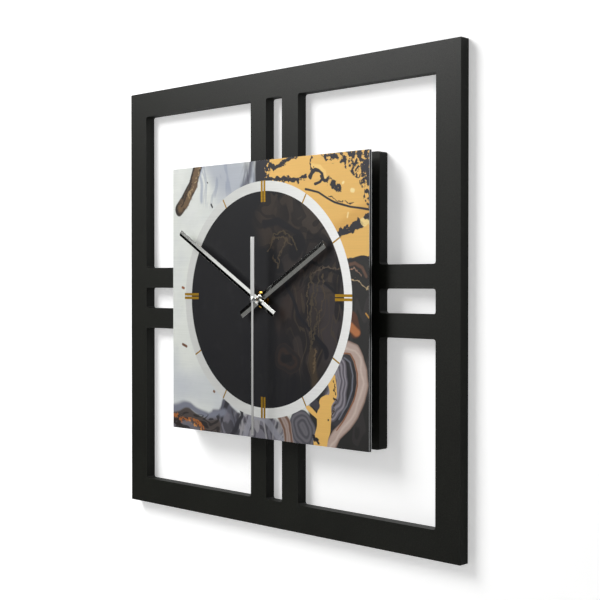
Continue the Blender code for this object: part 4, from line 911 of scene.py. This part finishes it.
@dataclass
class DialPlate:
    """The composite dial: two aluminium skins on a polymer core, the printed films and the gold foil marks."""

    shop: Workshop
    edge_round: float = 0.08 * MM
    film: float = 0.03 * MM
    foil: float = 0.06 * MM
    disc_radius: float = 93.9 * MM
    ring_radius: float = 102.7 * MM
    hole_radius: float = 4.2 * MM
    film_steps: int = 180
    tick: tuple[float, float, float] = (93.9 * MM, 102.6 * MM, 1.3 * MM)
    bar_width: float = 2.3 * MM
    bar_gap: float = 1.0 * MM
    bars: tuple[tuple[int, float, float, float], ...] = (
        (12, 84.4 * MM, 102.9 * MM, 0.0),
        (3, 83.9 * MM, 102.6 * MM, -2.4 * MM),
        (6, 84.4 * MM, 102.9 * MM, 0.0),
        (9, 84.4 * MM, 103.7 * MM, 2.4 * MM),
    )

    def build(self) -> None:
        """Make the skins, the core, the printed films and the foil."""
        for node, finish, slot in (
            ("dial_front_skin", MARBLE_PRINT, "printed_aluminium"),
            ("dial_back_skin", MILL_ALUMINIUM, "bare_aluminium"),
            ("dial_core", POLYETHYLENE, "black_polyethylene"),
        ):
            skin = softened(self.shop.copy_of(node), self.edge_round)
            second = (CUT_ALUMINIUM, self.cut) if node != "dial_core" else (None, None)
            name = node.replace("dial", "composite")
            self.shop.piece(name, skin, finish, "clock_body", slot, (node,), *second)
        self.front = -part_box("dial_front_skin")[0].y
        self.films()
        self.foils()

    @staticmethod
    def cut(face: bmesh.types.BMFace) -> bool:
        """Tell whether a face is on the sawn edge of a skin, or behind it."""
        return face.normal.y > -0.9

    def films(self) -> None:
        """Make the printed ring and the disc, each a film on the skin."""
        for name, finish, outer, inner in (
            ("satin_ring_print", RING_PRINT, self.ring_radius, self.disc_radius),
            ("smoke_disc_print", SMOKE_PRINT, self.disc_radius, self.hole_radius),
        ):
            hole = circle(inner, self.film_steps)
            film = slab(circle(outer, self.film_steps), [hole], self.front, self.front + self.film)
            self.shop.piece(name, moved(film, self.shop.hub), finish, "clock_body", "printed_aluminium")

    def foils(self) -> None:
        """Make the twelve hour marks: double bars at the quarters and single ticks between them."""
        foil = bmesh.new()
        for hour in range(1, 13):
            if hour % 3:
                self.mark(foil, hour, 0.0, *self.tick)
        apart = (self.bar_width + self.bar_gap) / 2
        for hour, inner, outer, side in self.bars:
            for half in (-apart, apart):
                self.mark(foil, hour, side + half, inner, outer, self.bar_width)
        self.shop.piece("gold_foil_marks", foil, GOLD_FOIL, "clock_body", "printed_aluminium")

    def mark(self, bm: Solid, hour: int, side: float, inner: float, outer: float, width: float) -> None:
        """Add one radial bar of foil.

        Args:
            bm: The solid that gets it.
            hour: The hour that it marks.
            side: How far it is moved sideways.
            inner: Its near end, from the axis.
            outer: Its far end.
            width: Its width.
        """
        size = (width, self.foil, outer - inner)
        place = (side, -self.front - self.foil / 2, (inner + outer) / 2)
        turn = Matrix.Rotation(math.radians(30 * hour), 4, "Y")
        sized = Matrix.LocRotScale(Vector(place), None, Vector(size))
        matrix = Matrix.Translation(self.shop.hub) @ turn @ sized
        bmesh.ops.create_cube(bm, size=1.0, matrix=matrix)


@dataclass
class Hub:
    """The brass nut and washer that clamp the movement to the dial, and the second hand's polished cap."""

    shop: Workshop
    nut_chamfer: float = 30.0
    nut_cuts: int = 24
    washer_round: float = 0.15 * MM
    cap_rim: float = 0.25 * MM
    cap_stem: float = 1.4 * MM
    cap_shoulder: float = 36.13 * MM
    cap_bore: tuple[float, float] = (0.55 * MM, 35.62 * MM)

    def build(self) -> None:
        """Make the washer, the nut, the bush and the cap."""
        washer = softened(self.shop.copy_of("brass_washer"), self.washer_round, 3)
        self.shop.piece("turned_washer", washer, BRASS, "clock_body", "brass", ("brass_washer",))
        self.nut()
        self.shop.dress(BRASS, "threaded_bush")
        self.cap()

    def nut(self) -> None:
        """Make the hex nut, its corners chamfered towards both faces."""
        nut = self.shop.copy_of("hex_nut")
        bmesh.ops.dissolve_limit(nut, angle_limit=math.radians(0.5), verts=nut.verts[:], edges=nut.edges[:])
        low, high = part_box("hex_nut")
        flats = min(high.x - low.x, high.z - low.z) / 2
        tilt = math.radians(self.nut_chamfer)
        for step in range(self.nut_cuts):
            angle = math.tau * step / self.nut_cuts
            out = Vector((math.sin(angle), 0, math.cos(angle)))
            for face, level in ((-1, low.y), (1, high.y)):
                point = self.shop.hub + out * flats + Vector((0, level, 0))
                normal = out * math.sin(tilt) + Vector((0, face, 0)) * math.cos(tilt)
                geometry = nut.verts[:] + nut.edges[:] + nut.faces[:]
                plane = {"plane_co": point, "plane_no": normal, "clear_outer": True}
                cut = bmesh.ops.bisect_plane(nut, geom=geometry, **plane)
                rim = [part for part in cut["geom_cut"] if isinstance(part, bmesh.types.BMEdge)]
                if rim:
                    bmesh.ops.holes_fill(nut, edges=rim)
        bmesh.ops.recalc_face_normals(nut, faces=nut.faces[:])
        self.shop.piece("chamfered_nut", nut, BRASS, "clock_body", "brass", ("hex_nut",))

    def cap(self) -> None:
        """Turn the domed cap, hollow where it sits on the arbor."""
        low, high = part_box("second_hand_cap")
        radius, base, top = (high.x - low.x) / 2, -high.y, -low.y
        rise = top - self.cap_shoulder - self.cap_rim
        bore, depth = self.cap_bore
        shoulder, stem = self.cap_shoulder, self.cap_stem
        profile = [(bore, base), (stem, base), (stem, shoulder), (radius, shoulder)]
        for angle in range(0, 90, 10):
            turn = math.radians(angle)
            profile.append((radius * math.cos(turn), shoulder + self.cap_rim + rise * math.sin(turn)))
        cap = moved(lathe(profile + [(0, top), (0, depth), (bore, depth)]), self.shop.hub)
        self.shop.piece("domed_cap", cap, CHROME, "second_hand_body", "polished_steel", ("second_hand_cap",))


@dataclass
class Hands:
    """The three metal hands: two with a ridge along the middle, and a flat second hand."""

    shop: Workshop
    edge_round: float = 0.06 * MM
    edge_angle: float = 50.0
    crease: float = 3.0

    def build(self) -> None:
        """Make each hand and its collet."""
        for node, body, finish, slot in (
            ("hour_hand", "hour_hand_body", HAND_ALUMINIUM, "polished_aluminium"),
            ("hour_hand_collet", "hour_hand_body", HAND_ALUMINIUM, "polished_aluminium"),
            ("minute_hand", "minute_hand_body", HAND_ALUMINIUM, "polished_aluminium"),
            ("minute_hand_collet", "minute_hand_body", HAND_ALUMINIUM, "polished_aluminium"),
            ("second_hand", "second_hand_body", SATIN_ALUMINIUM, "satin_aluminium"),
        ):
            bm = softened(self.shop.copy_of(node), self.edge_round, 2, self.edge_angle)
            self.shop.piece(node + "_polished", bm, finish, body, slot, (node,), crease=self.crease)


@dataclass
class Movement:
    """The quartz movement: moulded case, battery and contacts, circuit, motor and train of wheels."""

    shop: Workshop
    mould_round: float = 0.5 * MM
    knob_round: float = 0.2 * MM
    bead: float = 0.5 * MM
    nub_radius: float = 2.7 * MM
    nub_height: float = 1.0 * MM
    nub_round: float = 0.2 * MM
    wrap_lip: float = 0.6 * MM
    wrap_step: float = 0.1 * MM
    bead_start: tuple[float, float] = (0.2 * MM, 0.15 * MM)
    pale_share: float = 0.3

    def build(self) -> None:
        """Make and dress every part of the movement."""
        for node, finish, slot, width in (
            ("case_front", CASE_ABS, "black_abs", self.mould_round),
            ("case_cover", CASE_ABS, "black_abs", self.knob_round),
            ("rubber_gasket", RUBBER, "black_rubber", self.knob_round),
            ("chip_cover", EPOXY, "black_epoxy", self.knob_round),
        ):
            bm = softened(self.shop.copy_of(node), width, 3)
            self.shop.piece(node + "_moulded", bm, finish, "clock_body", slot, (node,))
        knob = softened(self.shop.copy_of("setting_knob"), self.knob_round, 2)
        replaced = ("setting_knob",)
        self.shop.piece("setting_knob_moulded", knob, KNOB_ABS, "setting_body", "black_abs", replaced)
        self.battery()
        self.shop.dress(ACETAL, "middle_plate", "rear_bridge", "coil_bobbin")
        wheels = ("intermediate", "second", "third", "centre", "minute", "hour")
        self.shop.dress(ACETAL, *(wheel + "_wheel" for wheel in wheels))
        self.shop.dress(BRASS, "minute_tube")
        self.shop.dress(FERRITE, "rotor")
        self.shop.dress(STEEL, "stator", "coil_core", "quartz_crystal")
        self.shop.dress(NICKEL, "contact_plus", "contact_minus")
        self.shop.dress(COPPER, "coil_winding")
        self.shop.dress(BOARD, "circuit_board")

    def battery(self) -> None:
        """Turn the cell: its steel ends, the sleeve rolled over them and the positive nub."""
        low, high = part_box("battery")
        radius = (high.z - low.z) / 2
        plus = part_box("contact_plus")
        right = plus[0].x + plus[1].x > low.x + high.x
        length = high.x - low.x
        start, end = -length / 2, length / 2 - self.nub_height
        step, lip, nub, tip = self.wrap_step, self.wrap_lip, self.nub_radius, end + self.nub_height
        inward, along = self.bead_start
        profile = [(0, start), (radius - 1.4 * lip, start), (radius - 1.3 * lip, start + step)]
        for level, sign in ((start, 1), (end, -1)):
            corner = [(radius - lip, level), (radius - inward, level + sign * along)]
            corner.append((radius, level + sign * self.bead))
            profile += corner if sign > 0 else corner[::-1]
        profile += [(radius - 1.4 * lip, end - step), (nub, end - step)]
        profile += [(nub, tip - self.nub_round), (nub - self.nub_round, tip)]
        cell = lathe(profile + [(0, tip)], 72)
        # The section is turned about Y with its nub towards -Y: laid along X, to the contact that it touches
        lay = Matrix.Rotation(math.radians(90 if right else -90), 3, "Z")
        bmesh.ops.rotate(cell, verts=cell.verts[:], cent=(0, 0, 0), matrix=lay)
        middle = (low + high) / 2
        moved(cell, middle)
        pale = end - self.pale_share * length
        for face in cell.faces:
            place = face.calc_center_median() - middle
            along = place.x if right else -place.x
            off_axis = math.hypot(place.y, place.z)
            face.material_index = 2 if off_axis < radius - self.wrap_lip else int(along > pale)
        made = self.shop.piece("cell", cell, CELL_SLEEVE, "battery_body", "battery_wrap", ("battery",))
        made.data.materials.append(self.shop.material(CELL_BAND))
        made.data.materials.append(self.shop.material(NICKEL))


@dataclass
class Studio:
    """The plain wall and floor, two soft lights in front, a weak one behind the wall, and the camera."""

    shop: Workshop
    wall_size: float = 6.0
    wall_gap: float = 0.5 * MM
    wall_stipple: float = 2.0 * MM
    wall_glow: float = 0.36
    floor_drop: float = 1.35
    camera_place: tuple[float, float, float] = (0.72613, -0.73231, -0.17811)
    camera_tilt: float = -0.786
    camera_turn: float = 43.871
    lens: float = 70.32
    room_light: float = 0.24
    flag: tuple[float, float] = (-0.79, -0.7)
    lights: tuple[tuple[str, float, float, float, float, float], ...] = (
        ("key", -42.0, 40.0, 1.5, 0.85, 26.0),
        ("side_panel", -37.0, 6.0, 1.2, 0.6, 1.0),
        ("rear", 180.0, 20.0, 0.9, 0.6, 6.0),
    )

    def build(self) -> None:
        """Set up everything around the clock."""
        self.wall_and_floor()
        for name, azimuth, elevation, distance, size, power in self.lights:
            self.light(name, azimuth, elevation, distance, size, power)
        self.world()
        self.camera()
        bpy.context.scene.view_settings.view_transform = "Standard"

    def wall_and_floor(self) -> None:
        """Make the floor, and the wall, which is clear from behind so that the clock's back can be seen."""
        # The roller's stipple keeps the shade on the wall even and matt
        material, tree, shader = new_material("Matt white wall paint, rolled")
        place = add_node(tree, "ShaderNodeTexCoord").outputs["Object"]
        stipple = {"Vector": place, "Scale": 1 / self.wall_stipple, "Detail": 2.0}
        stipple = add_node(tree, "ShaderNodeTexNoise", {}, stipple).outputs["Fac"]
        relief = {"Height": stipple, "Distance": 0.03 * MM, "Strength": 1.0}
        relief = add_node(tree, "ShaderNodeBump", {}, relief).outputs["Normal"]
        tree.links.new(relief, shader.inputs["Normal"])
        shader.inputs["Base Color"].default_value = linear("#f4f4f4")
        shader.inputs["Roughness"].default_value = 0.95
        shader.inputs["Specular IOR Level"].default_value = 0.1
        shader.inputs["Emission Color"].default_value = linear("#ffffff")
        shader.inputs["Emission Strength"].default_value = self.wall_glow
        behind = add_node(tree, "ShaderNodeNewGeometry").outputs["Backfacing"]
        shadow = add_node(tree, "ShaderNodeLightPath").outputs["Is Shadow Ray"]
        clear = add_node(tree, "ShaderNodeMath", {"operation": "MAXIMUM"}, {0: behind, 1: shadow}).outputs[0]
        air = add_node(tree, "ShaderNodeBsdfTransparent").outputs["BSDF"]
        mixed = {0: clear, 1: shader.outputs["BSDF"], 2: air}
        mixed = add_node(tree, "ShaderNodeMixShader", {}, mixed).outputs[0]
        tree.links.new(mixed, tree.nodes["Material Output"].inputs["Surface"])
        half = self.wall_size / 2
        bm = bmesh.new()
        turn = Matrix.Translation((0, self.wall_gap, 0)) @ Matrix.Rotation(math.radians(90), 4, "X")
        bmesh.ops.create_grid(bm, x_segments=1, y_segments=1, size=half, matrix=turn)
        self.stage_piece("wall", bm, material)
        bm = bmesh.new()
        lower = Matrix.Translation((0, 0, self.shop.hub.z - self.floor_drop))
        bmesh.ops.create_grid(bm, x_segments=1, y_segments=1, size=half, matrix=lower)
        self.stage_piece("floor", bm, self.shop.material(FLOOR_PAINT))

    @staticmethod
    def stage_piece(name: str, bm: Solid, material: bpy.types.Material) -> None:
        """Turn a mesh into a part of the stage."""
        mesh = bpy.data.meshes.new(name)
        bm.to_mesh(mesh)
        bm.free()
        mesh.materials.append(material)
        made = bpy.data.objects.new(name, mesh)
        bpy.context.scene.collection.objects.link(made)

    def light(
        self, name: str, azimuth: float, elevation: float, distance: float, size: float, power: float
    ) -> None:
        """Add a square soft light that faces the dial.

        Args:
            name: Its name.
            azimuth: Its direction to the right of straight in front, in degrees.
            elevation: Its direction above level, in degrees.
            distance: Its distance from the dial's middle.
            size: The length of its side.
            power: Its power in watts.
        """
        lamp = bpy.data.lights.new(name, "AREA")
        lamp.shape, lamp.size, lamp.energy = "SQUARE", size, power
        across, up = math.radians(azimuth), math.radians(elevation)
        way = Vector((math.sin(across) * math.cos(up), -math.cos(across) * math.cos(up), math.sin(up)))
        placed = bpy.data.objects.new(name, lamp)
        placed.location = self.shop.hub + way * distance
        placed.rotation_euler = way.to_track_quat("Z", "Y").to_euler()
        bpy.context.scene.collection.objects.link(placed)

    def world(self) -> None:
        """Fill the room with dim grey that falls to black at the far left, as beside a studio flag."""
        world = bpy.data.worlds.new("Room light")
        world.use_nodes = True
        tree = world.node_tree
        way = add_node(tree, "ShaderNodeTexCoord").outputs["Generated"]
        across = add_node(tree, "ShaderNodeSeparateXYZ", {}, {0: way}).outputs["X"]
        dark, grey = self.flag
        level = {"Value": across, "From Min": dark, "From Max": grey, "To Max": self.room_light}
        level = add_node(tree, "ShaderNodeMapRange", {}, level).outputs["Result"]
        background = tree.nodes["Background"]
        background.inputs["Color"].default_value = linear("#f4f4f2")
        tree.links.new(level, background.inputs["Strength"])
        bpy.context.scene.world = world

    def camera(self) -> None:
        """Place the camera."""
        data = bpy.data.cameras.new("camera")
        data.lens, data.sensor_width = self.lens, 36.0
        data.clip_start = 0.01
        camera = bpy.data.objects.new("camera", data)
        camera.location = self.camera_place
        camera.rotation_euler = (math.radians(90 + self.camera_tilt), 0, math.radians(self.camera_turn))
        bpy.context.scene.collection.objects.link(camera)
        bpy.context.scene.camera = camera


def main() -> None:
    """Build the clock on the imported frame, then the studio."""
    logging.basicConfig(level=logging.INFO, format="%(name)s %(message)s")
    shop = Workshop(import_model())
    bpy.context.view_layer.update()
    for assembly in (WallSheet, Hanger, DialPlate, Hub, Hands, Movement, Studio):
        LOG.info("building %s", assembly.__name__)
        assembly(shop).build()
    bpy.context.view_layer.update()


if __name__ == "__main__":
    main()
